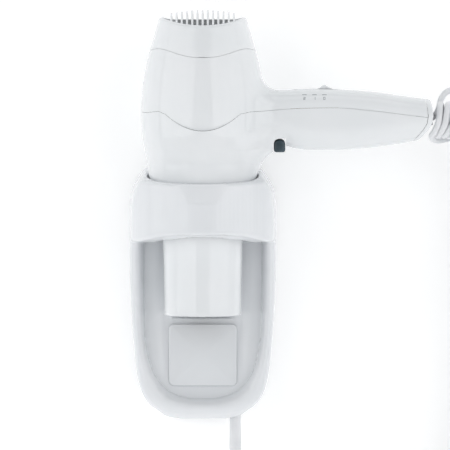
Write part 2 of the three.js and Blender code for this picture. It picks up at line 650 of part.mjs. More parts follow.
// A solid over the holder's outline, with a step back at its front edge.
function holderBlock(inset, back, front, edge) {
  const ring = (more, y) => holderOutline(inset + more).getPoints(4).slice(0, -1)
    .map((p) => point(p.x, y, p.y));
  const rings = [ring(edge, front), ring(0, front + edge), ring(0, back)];
  return skinned(rings.map((r) => r.reverse()));
}

// The scooped channel down the front, with a flat boss for the panel.
function channel(grow) {
  const top = RING_LIP_Z + 10;
  const scoop = turned([[0, PLATE_BOTTOM_Z + 14 - grow], [32 + grow, PLATE_BOTTOM_Z + 14 - grow],
    [44 + grow, PLATE_BOTTOM_Z + 23 - grow], [48.5 + grow, PLATE_BOTTOM_Z + 37],
    [52.4 + grow, MOUTH_Z + 26], [52.4 + grow, top], [0, top]], 40, point(0, CHANNEL_Y, 0));
  const half = BOSS_HALF - grow;
  const boss = box(-half, half, BOSS_Y + grow, 0, -FAR, SHELF_Z - grow);
  const groove = disc(GROOVE_R + grow, SHELF_Z - grow, top, 32, AXIS);
  return scoop.subtract(boss).add(groove);
}

// The opening of the ring: the barrel's outline with a clearance.
function ringOpening(grow) {
  const low = RING_LIP_Z - 12;
  const profile = [[0, low]];
  for (let i = 0; i <= 6; i++) {
    const z = low + ((PLATE_TOP_Z - low) * i) / 6;
    profile.push([Math.max(barrelRadius(z) + RING_FIT, NOZZLE_R + 3) + grow, z]);
  }
  const rim = profile[profile.length - 1][0];
  return turned([...profile, [rim + 1, PLATE_TOP_Z + 12], [0, PLATE_TOP_Z + 12]], 36, AXIS);
}

// The ring and its arms; a shrink gives the hollow behind them.
function ringBlock(shrink) {
  const front = AXIS_Y - BARREL_R + shrink;
  const half = ARM_HALF - shrink;
  const back = COVER_BACK - 4 + 2 * shrink;
  const plan = new THREE.Shape();
  plan.moveTo(-half, back);
  plan.lineTo(-half, AXIS_Y + 6);
  plan.absellipse(0, AXIS_Y + 6, half, AXIS_Y + 6 - front, Math.PI, 2 * Math.PI, false);
  plan.lineTo(half, back);
  const block = solid(new THREE.ExtrudeGeometry(plan,
    { depth: FAR, bevelEnabled: false, curveSegments: 24 }).translate(0, 0, RING_LIP_Z - 20));
  const crease = PLATE_TOP_Z - 21.3;
  const low = RING_LIP_Z + shrink;
  const top = PLATE_TOP_Z - shrink;
  const side = sideSlab([[5, low - 7], [AXIS_Y - 12, low - 7], [front - 1, low],
    [front - 1, crease], [front + 3.5, top - 10.5], [AXIS_Y + 12, top], [5, top]], -FAR, FAR);
  const outline = slab(holderOutline(shrink), 5, -FAR, 6);
  return block.intersect(side).intersect(outline);
}

function holderCover() {
  let body = holderBlock(0, COVER_BACK, -COVER_DEPTH, 4).subtract(channel(0));
  body = body.add(ringBlock(0)).subtract(ringOpening(0));
  body = body.subtract(disc(GROOVE_R, SHELF_Z, RING_LIP_Z - 6.9, 32, AXIS));
  const cavity = holderBlock(COVER_WALL, 1, -COVER_DEPTH + COVER_WALL, 3)
    .subtract(channel(COVER_WALL)).add(ringBlock(COVER_WALL))
    .subtract(ringOpening(COVER_WALL))
    .subtract(disc(GROOVE_R + COVER_WALL, SHELF_Z - COVER_WALL, RING_LIP_Z - 4.4, 32, AXIS));
  body = body.subtract(cavity);
  body = body.subtract(box(-PANEL.half - GAP, PANEL.half + GAP, BOSS_Y - 5, BOSS_Y + PANEL.thick,
    PANEL.low - GAP, PANEL.high + GAP));
  const low = PLATE_BOTTOM_Z;
  body = body.add(box(-19, -7, -17, COVER_BACK, low + 1, low + 7));
  const screwAt = point(-13, -11, low);
  body = body.subtract(disc(3.4, -9, 3.2, 12, screwAt)).subtract(disc(1.8, 0, 12, 8, screwAt));
  body = body.subtract(disc(1.8, -6, 6, 10, point(0, AXIS_Y + GROOVE_R, MOUTH_Z + 40),
    point(0, 1, 0)));
  return body.subtract(disc(4.7, low - 5, low + 5, 14, point(CORD_EXIT_X, CORD_EXIT_Y, 0)));
}

function wallPlate() {
  let body = slab(holderOutline(1.4), 0, -PLATE_THICK, 5);
  body = body.add(pipe(4.5, 1.8, 2, 16.6 - 2.5, 12, point(0, 0, MOUTH_Z + 40), point(0, -1, 0)));
  const low = PLATE_BOTTOM_Z;
  body = body.add(box(-18, -8, -16, -1, low + 7.6, low + 14));
  body = body.subtract(disc(1.8, 0, 20, 8, point(-13, -11, low)));
  body = body.add(box(13, 37, -17.3, -1, low + 12, low + 20));
  body = body.subtract(disc(1.8, 5, 30, 8, point(33, 0, low + 16), point(0, -1, 0)));
  for (const [x, z] of [[-42, 55], [42, 55], [-42, -45], [42, -45]]) {
    body = body.subtract(disc(2.4, -5, 9, 12, point(x, 0, z), point(0, -1, 0)));
  }
  return body.subtract(disc(8, -5, 9, 16, point(0, 0, -12), point(0, -1, 0)));
}

function terminalBlock() {
  let body = box(-36, -8, -15, COVER_BACK, -64, -48);
  for (const x of [-31, -22, -13]) {
    body = body.subtract(disc(2, 5, 30, 10, point(x, 0, -56), point(0, -1, 0)));
  }
  return body;
}

function cordAnchor() {
  const z = [PLATE_BOTTOM_Z + 12.5, PLATE_BOTTOM_Z + 19.5];
  const bar = box(14, 36, -26, -22.8, ...z);
  const legs = join(box(14, 18, -24, -17.6, ...z), box(29.5, 36, -24, -17.6, ...z));
  const hole = disc(1.8, 5, 30, 8, point(33, 0, PLATE_BOTTOM_Z + 16), point(0, -1, 0));
  return join(bar, legs).subtract(hole);
}

function coverSleeve() {
  const low = PLATE_BOTTOM_Z;
  const bore = CORD_R + GAP;
  return turned([[bore, low + 7], [5.6, low + 7], [5.6, low + 5], [4.2, low + 5], [4.65, low - 23],
    [3.5, low - 45], [bore, low - 45], [bore, low + 7]], 16, point(CORD_EXIT_X, CORD_EXIT_Y, 0));
}

add('wall_plate', wallPlate(), LOOK.holder());
add('holder_cover', holderCover(), LOOK.holder());
add('blanking_panel', box(-PANEL.half, PANEL.half, BOSS_Y, BOSS_Y + PANEL.thick - GAP, PANEL.low,
  PANEL.high), LOOK.holder());
add('terminal_block', terminalBlock(), LOOK.holder());
add('cord_anchor', cordAnchor(), LOOK.inner());
add('cord_anchor_screw', screw(3, 1.4, 16, point(33, -26.3, PLATE_BOTTOM_Z + 16),
  point(0, -1, 0)), LOOK.steel());
add('cover_screw_upper', screw(3, 1.4, 12, point(0, AXIS_Y + GROOVE_R - 0.5, MOUTH_Z + 40),
  point(0, -1, 0)), LOOK.steel());
add('cover_screw_lower', screw(3, 1.4, 9, point(-13, -11, PLATE_BOTTOM_Z + 3),
  point(0, 0, -1)), LOOK.steel());
add('holder_cord_sleeve', coverSleeve(), LOOK.cord());

// ---- Cord ---------------------------------------------------------------------------
const COIL_ROUTE = [
  point(175.7, -57, 131.5), point(180, -56.4, 131.2), point(189, -50, 128.6), point(197, -40, 120),
  point(202, -31.5, 104), point(208, -26, 74), point(211.5, -23, 34), point(211.5, -22, -12),
  point(209, -22, -58), point(205, -22, -100), point(197, -22, -134), point(181, -22, -166),
  point(157, -22, -190), point(128, -22, -204), point(98, -22, -208), point(76, -22, -205),
];
const TAIL_ROUTE = [
  point(74.7, -22, -204.7), point(52, -21.5, -196), point(35, -20.5, -178), point(26.5, -20, -158),
  point(CORD_EXIT_X, CORD_EXIT_Y, -141), point(CORD_EXIT_X, CORD_EXIT_Y, -130),
  point(CORD_EXIT_X, CORD_EXIT_Y, -98), point(CORD_EXIT_X, CORD_EXIT_Y, -66),
];
const LEAD_ROUTE = [point(149, AXIS_Y, CORD_Z), point(handleX(1) + 2.4, AXIS_Y, CORD_Z)];

const BUSHING_BORE = CORD_R + GAP;
add('cord_bushing', turned([
  [BUSHING_BORE, -12], [6.4, -12], [6.4, -9], [4.5, -9], [4.2, 0.5], [BUSHING_BORE, 0.5],
  [BUSHING_BORE, -12],
], 14, point(handleX(0.993), AXIS_Y, CORD_Z), point(1, 0, 0)), LOOK.inner());
add('cord_lead', rope(LEAD_ROUTE, CORD_R, 8, 3), LOOK.cord());
add('curly_cord', rope(COIL_ROUTE, COIL_R, 10, 22), LOOK.cord());
add('cord_tail', rope(TAIL_ROUTE, CORD_R, 8, 20), LOOK.cord());

function gripClamp() {
  const [left, right] = [handleX(0.8168), handleX(0.8605)];
  const low = CORD_Z - CORD_R - GAP;
  const bar = box(left, right, AXIS_Y - 9, AXIS_Y + 9, low - 3, low);
  return bar.subtract(disc(1.7, -FAR, FAR, 8, point((left + right) / 2, AXIS_Y + 6, 0)));
}
add('cord_clamp', gripClamp(), LOOK.inner());
add('cord_clamp_screw', screw(2.6, 1.4, 9, point(handleX(0.8386), AXIS_Y + 6,
  CORD_Z - CORD_R - GAP - 3.3), point(0, 0, -1)), LOOK.steel());

export default object;
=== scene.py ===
# %% [markdown]
# A hair dryer hanging nozzle down in the ring of its wall holder. The white pieces are injection
# moulded plastic, so nearly everything the eye gets comes from smooth curves, thin seams and soft
# reflections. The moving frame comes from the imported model; this script builds the fine skins over it.

# %% Load the frame
import math

import bmesh
import bpy
import numpy as np
import openvdb
from mathutils import Matrix, Vector


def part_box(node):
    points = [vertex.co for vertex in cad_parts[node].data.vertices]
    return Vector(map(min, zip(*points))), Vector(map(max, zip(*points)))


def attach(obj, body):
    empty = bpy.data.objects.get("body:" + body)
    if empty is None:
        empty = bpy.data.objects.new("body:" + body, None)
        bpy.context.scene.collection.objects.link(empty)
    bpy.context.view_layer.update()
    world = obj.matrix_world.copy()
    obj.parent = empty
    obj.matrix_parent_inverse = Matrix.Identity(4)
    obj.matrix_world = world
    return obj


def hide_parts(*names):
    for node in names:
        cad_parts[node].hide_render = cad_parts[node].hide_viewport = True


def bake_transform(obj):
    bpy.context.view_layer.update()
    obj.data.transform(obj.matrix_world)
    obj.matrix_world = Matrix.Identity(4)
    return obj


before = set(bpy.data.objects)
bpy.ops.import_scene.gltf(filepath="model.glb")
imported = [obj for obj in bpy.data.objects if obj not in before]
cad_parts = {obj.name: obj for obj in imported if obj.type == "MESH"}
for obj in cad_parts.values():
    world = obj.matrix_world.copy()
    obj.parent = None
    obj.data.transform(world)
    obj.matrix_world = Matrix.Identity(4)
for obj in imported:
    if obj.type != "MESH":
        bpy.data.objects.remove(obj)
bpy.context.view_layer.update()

MM = 0.001


def corners(node):
    """Lowest and highest corner of a CAD node in millimetres."""
    return [[value / MM for value in corner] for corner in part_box(node)]


# %% [markdown]
# The main sizes are read from the frame, so the skins always fit the pieces that move.

# %% Sizes from the frame
nozzle_low, nozzle_high = corners("outlet_nozzle")
cover_low, cover_high = corners("holder_cover")

MOUTH_Z = nozzle_low[2]
CROWN_Z = corners("rear_cap")[1][2]
BARREL_R = -corners("rear_shell")[0][0]
AXIS_Y = (nozzle_low[1] + nozzle_high[1]) / 2
NOZZLE_R = 28.5
WALL = 2.2
SEAM_GAP = 0.2
SLEEVE_X, SLEEVE_Y = 24.5, -20

print("barrel radius", round(BARREL_R, 2), "length", round(CROWN_Z - MOUTH_Z, 1),
      "axis", round(AXIS_Y, 1))

# %% [markdown]
# The dryer is seen square on from far away, so a long lens stands eight metres off and looks down on
# it by a few degrees. Its picture is about 340 mm wide where the barrel hangs.

# %% Camera
CAMERA_DISTANCE = 8.0
CAMERA_DROP = math.radians(2.5)
PICTURE_WIDTH = 0.3375
PICTURE_CENTRE = Vector((0.0167, AXIS_Y * MM, 0.0525))

camera_data = bpy.data.cameras.new("camera")
camera = bpy.data.objects.new("camera", camera_data)
bpy.context.scene.collection.objects.link(camera)
camera_data.lens = camera_data.sensor_width * CAMERA_DISTANCE / PICTURE_WIDTH
camera_data.clip_end = 50
camera.location = PICTURE_CENTRE + CAMERA_DISTANCE * Vector(
    (0, -math.cos(CAMERA_DROP), math.sin(CAMERA_DROP)))
camera.rotation_euler = (math.pi / 2 - CAMERA_DROP, 0, 0)
bpy.context.scene.camera = camera

# %% [markdown]
# Meshes are made as grids of points in millimetres. A grid that closes round gives tubes, shells and
# cords; its two ends are closed with fans, so every piece is one watertight skin.

# %% Mesh helpers
def new_piece(name, points, faces):
    """A mesh object from points in millimetres."""
    mesh = bpy.data.meshes.new(name)
    mesh.from_pydata([tuple(p) for p in np.asarray(points, float) * MM], [], faces)
    mesh.update()
    piece = bpy.data.objects.new(name, mesh)
    bpy.context.scene.collection.objects.link(piece)
    return piece


def face_out(piece):
    """Merges doubles and turns every face outwards."""
    work = bmesh.new()
    work.from_mesh(piece.data)
    bmesh.ops.remove_doubles(work, verts=work.verts, dist=1e-6)
    bmesh.ops.recalc_face_normals(work, faces=work.faces)
    work.to_mesh(piece.data)
    work.free()
    return piece


def skin(name, rings):
    """A closed skin over rings that all have the same number of points."""
    rings = np.asarray(rings, float)
    count, around = rings.shape[:2]
    points = rings.reshape(-1, 3)
    faces = []
    for r in range(count - 1):
        for i in range(around):
            j = (i + 1) % around
            a, b = r * around + i, r * around + j
            faces.append((a, b, b + around, a + around))
    last = (count - 1) * around
    points = np.vstack([points, rings[0].mean(axis=0), rings[-1].mean(axis=0)])
    low, high = len(points) - 2, len(points) - 1
    for i in range(around):
        j = (i + 1) % around
        faces.append((j, i, low))
        faces.append((last + i, last + j, high))
    return face_out(new_piece(name, points, faces))


def revolved(name, profile, sides, centre):
    """A closed solid of revolution about a vertical axis from (radius, height) pairs."""
    angles = np.linspace(0, 2 * math.pi, sides, endpoint=False)
    rings = [[(centre[0] + r * math.cos(a), centre[1] + r * math.sin(a), z) for a in angles]
             for r, z in profile]
    return skin(name, rings)


def smooth_line(points):
    """A smooth function through (place, value) pairs, with no overshoot."""
    x, y = np.array(points, float).T
    step = np.diff(x)
    slope = np.diff(y) / step
    tangent = np.zeros(len(x))
    tangent[0], tangent[-1] = slope[0], slope[-1]
    for i in range(1, len(x) - 1):
        if slope[i - 1] * slope[i] > 0:
            w1, w2 = 2 * step[i] + step[i - 1], step[i] + 2 * step[i - 1]
            tangent[i] = (w1 + w2) / (w1 / slope[i - 1] + w2 / slope[i])

    def value(place):
        place = min(max(place, x[0]), x[-1])
        i = min(int(np.searchsorted(x, place, side="right")) - 1, len(x) - 2)
        t = (place - x[i]) / step[i]
        return ((1 + 2 * t) * (1 - t) ** 2 * y[i] + t * (1 - t) ** 2 * step[i] * tangent[i]
                + t * t * (3 - 2 * t) * y[i + 1] + t * t * (t - 1) * step[i] * tangent[i + 1])

    return value


def combine(piece, other, operation):
    """Joins or cuts two closed pieces, applies the result and removes the second piece."""
    cut = piece.modifiers.new("cut", "BOOLEAN")
    cut.operation = operation
    cut.solver = "MANIFOLD"
    cut.object = other
    apply_modifiers(piece)
    bpy.data.objects.remove(other)


def apply_modifiers(piece):
    """Turns the evaluated object into its own plain mesh."""
    graph = bpy.context.evaluated_depsgraph_get()
    mesh = bpy.data.meshes.new_from_object(piece.evaluated_get(graph))
    piece.modifiers.clear()
    old, piece.data = piece.data, mesh
    bpy.data.meshes.remove(old)


def shade(piece, degrees=32):
    """Smooth shading that keeps the edges sharper than an angle."""
    mesh = piece.data
    for polygon in mesh.polygons:
        polygon.use_smooth = True
    work = bmesh.new()
    work.from_mesh(mesh)
    for edge in work.edges:
        edge.smooth = not (len(edge.link_faces) == 2
                           and edge.calc_face_angle(0) > math.radians(degrees))
    work.to_mesh(mesh)
    work.free()
    return piece


def prism(name, outline, back, front):
    """An outline in X and Z, pushed through from Y = back to Y = front."""
    rings = [[(x, y, z) for x, z in outline] for y in (back, front)]
    return skin(name, rings)


def block(name, x, y, z):
    """A box between two limits on each axis."""
    return prism(name, [(x[0], z[0]), (x[1], z[0]), (x[1], z[1]), (x[0], z[1])], y[1], y[0])


def rounded_rectangle(x0, x1, low, high, corner, steps=8):
    """A rectangle with round corners, as an outline."""
    points = []
    for cx, cy, start in ((x1 - corner, high - corner, 0), (x0 + corner, high - corner, 90),
                          (x0 + corner, low + corner, 180), (x1 - corner, low + corner, 270)):
        for a in np.radians(np.linspace(start, start + 90, steps)):
            points.append((cx + corner * math.cos(a), cy + corner * math.sin(a)))
    return points


# %% [markdown]
# Each finish starts from the real material. Colours are written as sRGB hex, and one function turns
# them to the linear values that the shader wants.

# %% Materials
def linear(hexcode):
    """Linear RGBA from an sRGB hex colour."""
    parts = [int(hexcode[i:i + 2], 16) / 255 for i in (0, 2, 4)]
    return tuple(c / 12.92 if c <= 0.04045 else ((c + 0.055) / 1.055) ** 2.4 for c in parts) + (1,)


def add(tree, kind, links=(), **settings):
    """Adds a node. Settings are its properties or socket values; links are (output, input) pairs."""
    node = tree.nodes.new(kind)
    for key, value in settings.items():
        if key.startswith("in_"):
            node.inputs[key[3:].replace("_", " ")].default_value = value
        else:
            setattr(node, key, value)
    for output, socket in links:
        tree.links.new(output, node.inputs[socket])
    return node


def finish_of(slot, real_name, tones, patch_mm, rough, grain_mm, bump_mm, **shader):
    """A finish with two close tones in soft patches, uneven gloss, and a fine grain.

    tones: two sRGB colours; patch_mm: size of the colour patches; rough: lowest and highest
    roughness; grain_mm and bump_mm: size and height of the surface texture.
    """
    material = bpy.data.materials.new(real_name)
    material.use_nodes = True
    tree = material.node_tree
    shade_node = tree.nodes["Principled BSDF"]
    for key, value in shader.items():
        shade_node.inputs[key.replace("_", " ")].default_value = value
    place = add(tree, "ShaderNodeTexCoord").outputs["Object"]
    patches = add(tree, "ShaderNodeTexNoise", [(place, "Vector")], in_Scale=1000 / patch_mm,
                  in_Detail=3.0)
    tone = add(tree, "ShaderNodeValToRGB", [(patches.outputs[0], "Fac")])
    tone.color_ramp.elements[0].position, tone.color_ramp.elements[1].position = 0.3, 0.7
    tone.color_ramp.elements[0].color = linear(tones[0])
    tone.color_ramp.elements[1].color = linear(tones[1])
    tree.links.new(tone.outputs[0], shade_node.inputs["Base Color"])
    gloss = add(tree, "ShaderNodeMapRange", [(patches.outputs[0], "Value")], in_From_Min=0.3,
                in_From_Max=0.7, in_To_Min=rough[0], in_To_Max=rough[1])
    tree.links.new(gloss.outputs[0], shade_node.inputs["Roughness"])
    grain = add(tree, "ShaderNodeTexNoise", [(place, "Vector")], in_Scale=1000 / grain_mm,
                in_Detail=2.0)
    bump = add(tree, "ShaderNodeBump", [(grain.outputs[0], "Height")], in_Strength=0.6,
               in_Distance=bump_mm * MM)
    tree.links.new(bump.outputs[0], shade_node.inputs["Normal"])
    MATERIALS[slot] = material


MATERIALS = {}
# Polished ABS: clean white with a clear reflection; the tool's polish leaves a very faint wave.
finish_of("shell", "gloss_ABS", ("E9ECEE", "EDEFF1"), 40, (0.07, 0.11), 9, 0.006, IOR=1.54)
# The holder is the same ABS from a tool with a finer polish, a shade greyer all over.
finish_of("holder", "holder_ABS", ("E5E8EB", "EAECEF"), 55, (0.12, 0.18), 9, 0.006, IOR=1.54)
# Slate ABS with a light spark-eroded texture, which breaks its highlights up.
finish_of("slate", "slate_textured_ABS", ("2C3B43", "3E5059"), 6, (0.3, 0.42), 0.7, 0.03, IOR=1.54)
# Soft white PVC: extruded, slightly waxy, so highlights are wide.
finish_of("cord", "soft_PVC", ("E2E4E7", "EBECEE"), 14, (0.3, 0.42), 1.2, 0.02, IOR=1.53)
# Glass-filled polyamide for the hidden parts: dark, matt and speckled by the fibres.
finish_of("inner", "glass_filled_polyamide", ("2B2C30", "45464B"), 1.6, (0.5, 0.7), 0.5, 0.04,
          IOR=1.53)
# Mica board: flakes of amber and grey pressed into a sheet.
finish_of("mica", "pressed_mica", ("B79F6C", "D8C79C"), 2.5, (0.35, 0.75), 1.2, 0.05, IOR=1.58)
# Zinc-plated steel: bright, with small dull patches from the bath.
finish_of("steel", "zinc_plated_steel", ("A7ABB0", "C4C7CB"), 2, (0.24, 0.42), 0.4, 0.01,
          Metallic=1.0)
# Nichrome heater wire that has been hot: brown-grey oxide over metal.
finish_of("wire", "oxidised_nichrome", ("6E635B", "98918A"), 3, (0.35, 0.6), 0.5, 0.02,
          Metallic=1.0)
# Phenolic paper board: brown with darker fibres.
finish_of("board", "phenolic_paper", ("7E5C2D", "9B7740"), 1.5, (0.45, 0.65), 0.6, 0.02, IOR=1.6)
# Stamped brass with a light tarnish.
finish_of("brass", "stamped_brass", ("A88342", "C7A45A"), 3, (0.25, 0.5), 0.6, 0.01, Metallic=1.0)
# Pad-printing ink: a thin matt film, slightly uneven.
finish_of("ink", "pad_print_ink", ("7D8489", "969CA1"), 0.8, (0.45, 0.6), 0.4, 0.01, IOR=1.5)
print("finishes", len(MATERIALS))


def finished(piece, body, finish, *nodes):
    """Gives a piece its material, its body, and the CAD nodes that it stands for."""
    piece.data.materials.clear()
    piece.data.materials.append(MATERIALS[finish])
    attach(piece, body)
    if nodes:
        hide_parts(*nodes)


# %% [markdown]
# The spiral cord is one PVC cord from the handle to the holder. It leaves the handle, makes one loose
# turn, and is then wound into a coil that hangs in a U and goes up into the sleeve of the holder. The
# coil is a helix worked out by a loop round a given route, and its pitch opens where it hangs.

# %% Cord route
CORD_D = 4.8
COIL_MEAN_R = 11.9
CORD_Z = 131.56
COIL_ROUTE = [
    (175.7, -57, 131.5), (181, -57, 131.3), (188, -56.6, 130.4), (196, -54, 127), (203, -49, 119),
    (208, -42, 106), (210.5, -33, 86), (211.5, -26, 58), (211.5, -22.5, 26), (211.5, -22, -12),
    (209, -22, -58), (205, -22, -100), (197, -22, -134), (181, -22, -166), (157, -22, -190),
    (128, -22, -204), (98, -22, -208), (76, -22, -205),
]
LOOSE_TURN = [
    (149, -57, CORD_Z), (158, -57, CORD_Z), (165, -57, CORD_Z), (170.5, -56.6, 132.4),
    (174.8, -54.8, 135.4), (177.3, -51.6, 140.4), (178.8, -48, 146.4), (182, -45, 151.2),
    (187.4, -42, 153.2), (193.6, -38.4, 150.4), (198, -34.2, 142.5), (199, -30.6, 132.5),
    (195.5, -28.8, 123.5), (188, -30, 117.8), (179.5, -35.2, 115.4), (173.6, -44, 116),
]
TAIL_ROUTE = [
    (62, -22, -199.5), (52, -21.5, -194), (42, -21, -186), (34, -20.5, -175), (27.5, -20, -158),
    (24.5, -20, -141), (24.5, -20, -130), (24.5, -20, -98), (24.5, -20, -66),
]


def route_points(points, step):
    """Evenly spaced points on a smooth curve through the given ones (Catmull-Rom)."""
    p = np.array(points, float)
    p = np.vstack([2 * p[0] - p[1], p, 2 * p[-1] - p[-2]])
    fine = []
    for a, b, c, d in zip(p, p[1:], p[2:], p[3:]):
        ta, tb = 0, np.linalg.norm(b - a) ** 0.5
        tc = tb + np.linalg.norm(c - b) ** 0.5
        td = tc + np.linalg.norm(d - c) ** 0.5
        for t in np.linspace(tb, tc, 24, endpoint=False):
            ab = ((tb - t) * a + (t - ta) * b) / (tb - ta)
            bc = ((tc - t) * b + (t - tb) * c) / (tc - tb)
            cd = ((td - t) * c + (t - tc) * d) / (td - tc)
            abc = ((tc - t) * ab + (t - ta) * bc) / (tc - ta)
            bcd = ((td - t) * bc + (t - tb) * cd) / (td - tb)
            fine.append(((tc - t) * abc + (t - tb) * bcd) / (tc - tb))
    fine = np.array(fine + [p[-2]])
    run = np.concatenate([[0], np.cumsum(np.linalg.norm(np.diff(fine, axis=0), axis=1))])
    places = np.linspace(0, run[-1], max(2, int(round(run[-1] / step)) + 1))
    return np.array([[np.interp(s, run, fine[:, k]) for k in range(3)] for s in places])


def carried_frame(points, start_normal):
    """Tangents, and normals carried along the line without twist."""
    tangents = np.gradient(points, axis=0)
    tangents /= np.linalg.norm(tangents, axis=1)[:, None]
    normal = np.array(start_normal, float)
    normals = []
    for t in tangents:
        normal = normal - t * np.dot(t, normal)
        normal /= np.linalg.norm(normal)
        normals.append(normal.copy())
    return tangents, np.array(normals)


def tube(name, points, radius, sides):
    """A closed round tube over a line."""
    tangents, normals = carried_frame(points, (0, 0, 1))
    sideways = np.cross(tangents, normals)
    angles = np.linspace(0, 2 * math.pi, sides, endpoint=False)
    rings = [[p + radius * (math.cos(a) * n + math.sin(a) * s) for a in angles]
             for p, n, s in zip(points, normals, sideways)]
    return skin(name, rings)


# %% [markdown]
# Near the handle the turns almost touch, 5 mm from one to the next. Further down their own weight
# pulls them open to about 8 mm. The last turns open out and run straight into the tail.

# %% Wind the coil
TIGHT_PITCH = 5.0        # one turn to the next at the handle
OPEN_PITCH = 8.2         # and where the coil hangs
LAST_PITCH = 70          # and at the very end
OPENS_FROM = 0.06        # share of the coil where the pitch starts to open
OPENS_OVER = 0.3         # share of the coil that it takes
STEPS_PER_TURN = 20
LEAN = 3.6               # the first turns lean back along the slanted end of the grip
LEANING_TURNS = 12
LEAD_OUT = 85            # length of the coil that opens out at the end
NARROWS_FROM = 0.35      # share of that length where the turns start to narrow
AXIS_STEP, LEAD_STEP, TAIL_STEP = 0.5, 2.0, 3.0


def wound_coil():
    """The line of the coil's cord, and its number of turns."""
    axis = route_points(COIL_ROUTE, AXIS_STEP)
    run = np.linspace(0, AXIS_STEP * (len(axis) - 1), len(axis))
    opened = np.clip((run / run[-1] - OPENS_FROM) / OPENS_OVER, 0, 1)
    pitch = TIGHT_PITCH + (OPEN_PITCH - TIGHT_PITCH) * opened
    last = np.clip((run - run[-1] + LEAD_OUT) / LEAD_OUT, 0, 1)
    pitch = pitch * (LAST_PITCH / OPEN_PITCH) ** last
    late = np.clip((last - NARROWS_FROM) / (1 - NARROWS_FROM), 0, 1)
    radii = COIL_MEAN_R * (1 - late * late * (3 - 2 * late))
    turns = np.concatenate([[0], np.cumsum(np.diff(run) / pitch[1:])])
    tangents, normals = carried_frame(axis, (0, 0, -1))
    sideways = np.cross(tangents, normals)
    line = []
    for turn in np.arange(0, turns[-1], 1 / STEPS_PER_TURN):
        at, n, s, t = [np.array([np.interp(turn, turns, table[:, k]) for k in range(3)])
                       for table in (axis, normals, sideways, tangents)]
        angle = -2 * math.pi * turn
        lower = max(0, math.cos(angle)) ** 1.5
        lean = -LEAN * lower * max(0, 1 - turn / LEANING_TURNS)
        radius = np.interp(turn, turns, radii)
        line.append(at + radius * (math.cos(angle) * n + math.sin(angle) * s) + lean * t)
    return np.array(line), turns[-1]


coil_line, coil_turns = wound_coil()
lead_line = route_points(LOOSE_TURN + [tuple(p) for p in coil_line[:6:2]], LEAD_STEP)[:-3]
coil_line = coil_line[4:]
end = coil_line[-1]
tail_line = route_points([tuple(coil_line[-3]), tuple(end)] + TAIL_ROUTE, TAIL_STEP)
tail_line = tail_line[tail_line[:, 0] < end[0] - 2.5]
cord_line = np.vstack([lead_line, coil_line, tail_line])
cord_length = float(np.linalg.norm(np.diff(cord_line, axis=0), axis=1).sum()) * MM
print("coil turns", round(coil_turns, 1), "cord length", round(cord_length, 3), "m")

spiral_cord = tube("spiral_cord", cord_line, CORD_D / 2, 10)
spiral_cord.data.materials.append(MATERIALS["cord"])
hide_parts("cord_lead", "curly_cord", "cord_tail")
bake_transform(spiral_cord)
shade(spiral_cord, 80)

# %% [markdown]
# Moulded shells are soft solids with even walls. Each is described by a field: a function that is
# negative inside the plastic and positive outside. Fields join with a smooth minimum, which leaves a
# real fillet, and their zero surface is meshed and then moved exactly onto the field.

# %% Field helpers
def smooth_max(a, b, k):
    """The larger of two fields, with a rounded edge about k wide."""
    near = np.maximum(k - np.abs(a - b), 0) / k
    return np.maximum(a, b) + near * near * k / 4


def smooth_min(a, b, k):
    """The smaller of two fields, with a fillet about k wide."""
    return -smooth_max(-a, -b, k)


def outline_field(u, v, outline):
    """Signed distance to a closed outline, negative inside it."""
    outline = np.asarray(outline, float)
    shape = np.broadcast_shapes(np.shape(u), np.shape(v))
    best, inside = np.full(shape, 1e9), np.zeros(shape, bool)
    for (au, av), (bu, bv) in zip(outline, np.roll(outline, -1, axis=0)):
        du, dv = bu - au, bv - av
        t = np.clip(((u - au) * du + (v - av) * dv) / (du * du + dv * dv), 0, 1)
        best = np.minimum(best, (u - au - t * du) ** 2 + (v - av - t * dv) ** 2)
        if dv:
            inside ^= ((av > v) != (bv > v)) & (u < (v - av) * du / dv + au)
    return np.where(inside, -1, 1) * np.sqrt(best)


def slope_of(field, p, step=0.05):
    """The field at points, and its gradient."""
    value = field(p[:, 0], p[:, 1], p[:, 2])
    rise = []
    for k in range(3):
        q = p.copy()
        q[:, k] += step
        rise.append((field(q[:, 0], q[:, 1], q[:, 2]) - value) / step)
    return value, np.stack(rise, axis=1)


def field_skin(name, field, low, high, step):
    """The zero surface of a field inside a box, as a mesh that lies exactly on it."""
    x, y, z = [np.arange(a, b + step, step) for a, b in zip(low, high)]
    values = field(x[:, None, None], y[None, :, None], z[None, None, :])
    grid = openvdb.FloatGrid(9.0)
    grid.copyFromArray(np.ascontiguousarray(np.clip(values, -8, 8).astype(np.float32)))
    points, quads = grid.convertToQuads(isovalue=0)
    points = points.astype(float) * step + np.array(low, float)
    for _ in range(3):
        value, rise = slope_of(field, points)
        move = value[:, None] * rise / np.maximum((rise ** 2).sum(axis=1), 0.2)[:, None]
        points -= np.clip(move, -step / 2, step / 2)
    return face_out(new_piece(name, points, [tuple(int(i) for i in q) for q in quads]))


def field_normals(piece, field, degrees=35):
    """Shades the faces that lie on the field with the field's own exact normals."""
    mesh = piece.data
    for polygon in mesh.polygons:
        polygon.use_smooth = True
    points = np.array([v.co for v in mesh.vertices]) / MM
    rise = slope_of(field, points)[1]
    rise /= np.maximum(np.linalg.norm(rise, axis=1), 1e-6)[:, None]
    limit = math.cos(math.radians(degrees))
    normals = []
    for polygon in mesh.polygons:
        flat = np.array(polygon.normal)
        for v in polygon.vertices:
            own = rise[v]
            turn = float(own @ flat)
            normals.append(own if turn > limit else -own if turn < -limit else flat)
    mesh.normals_split_custom_set([tuple(n) for n in normals])
    return piece


# %% [markdown]
# The barrel is a solid of revolution with a curved outline: a narrow outlet, the widest part at the
# handle, and a taper to the inlet.

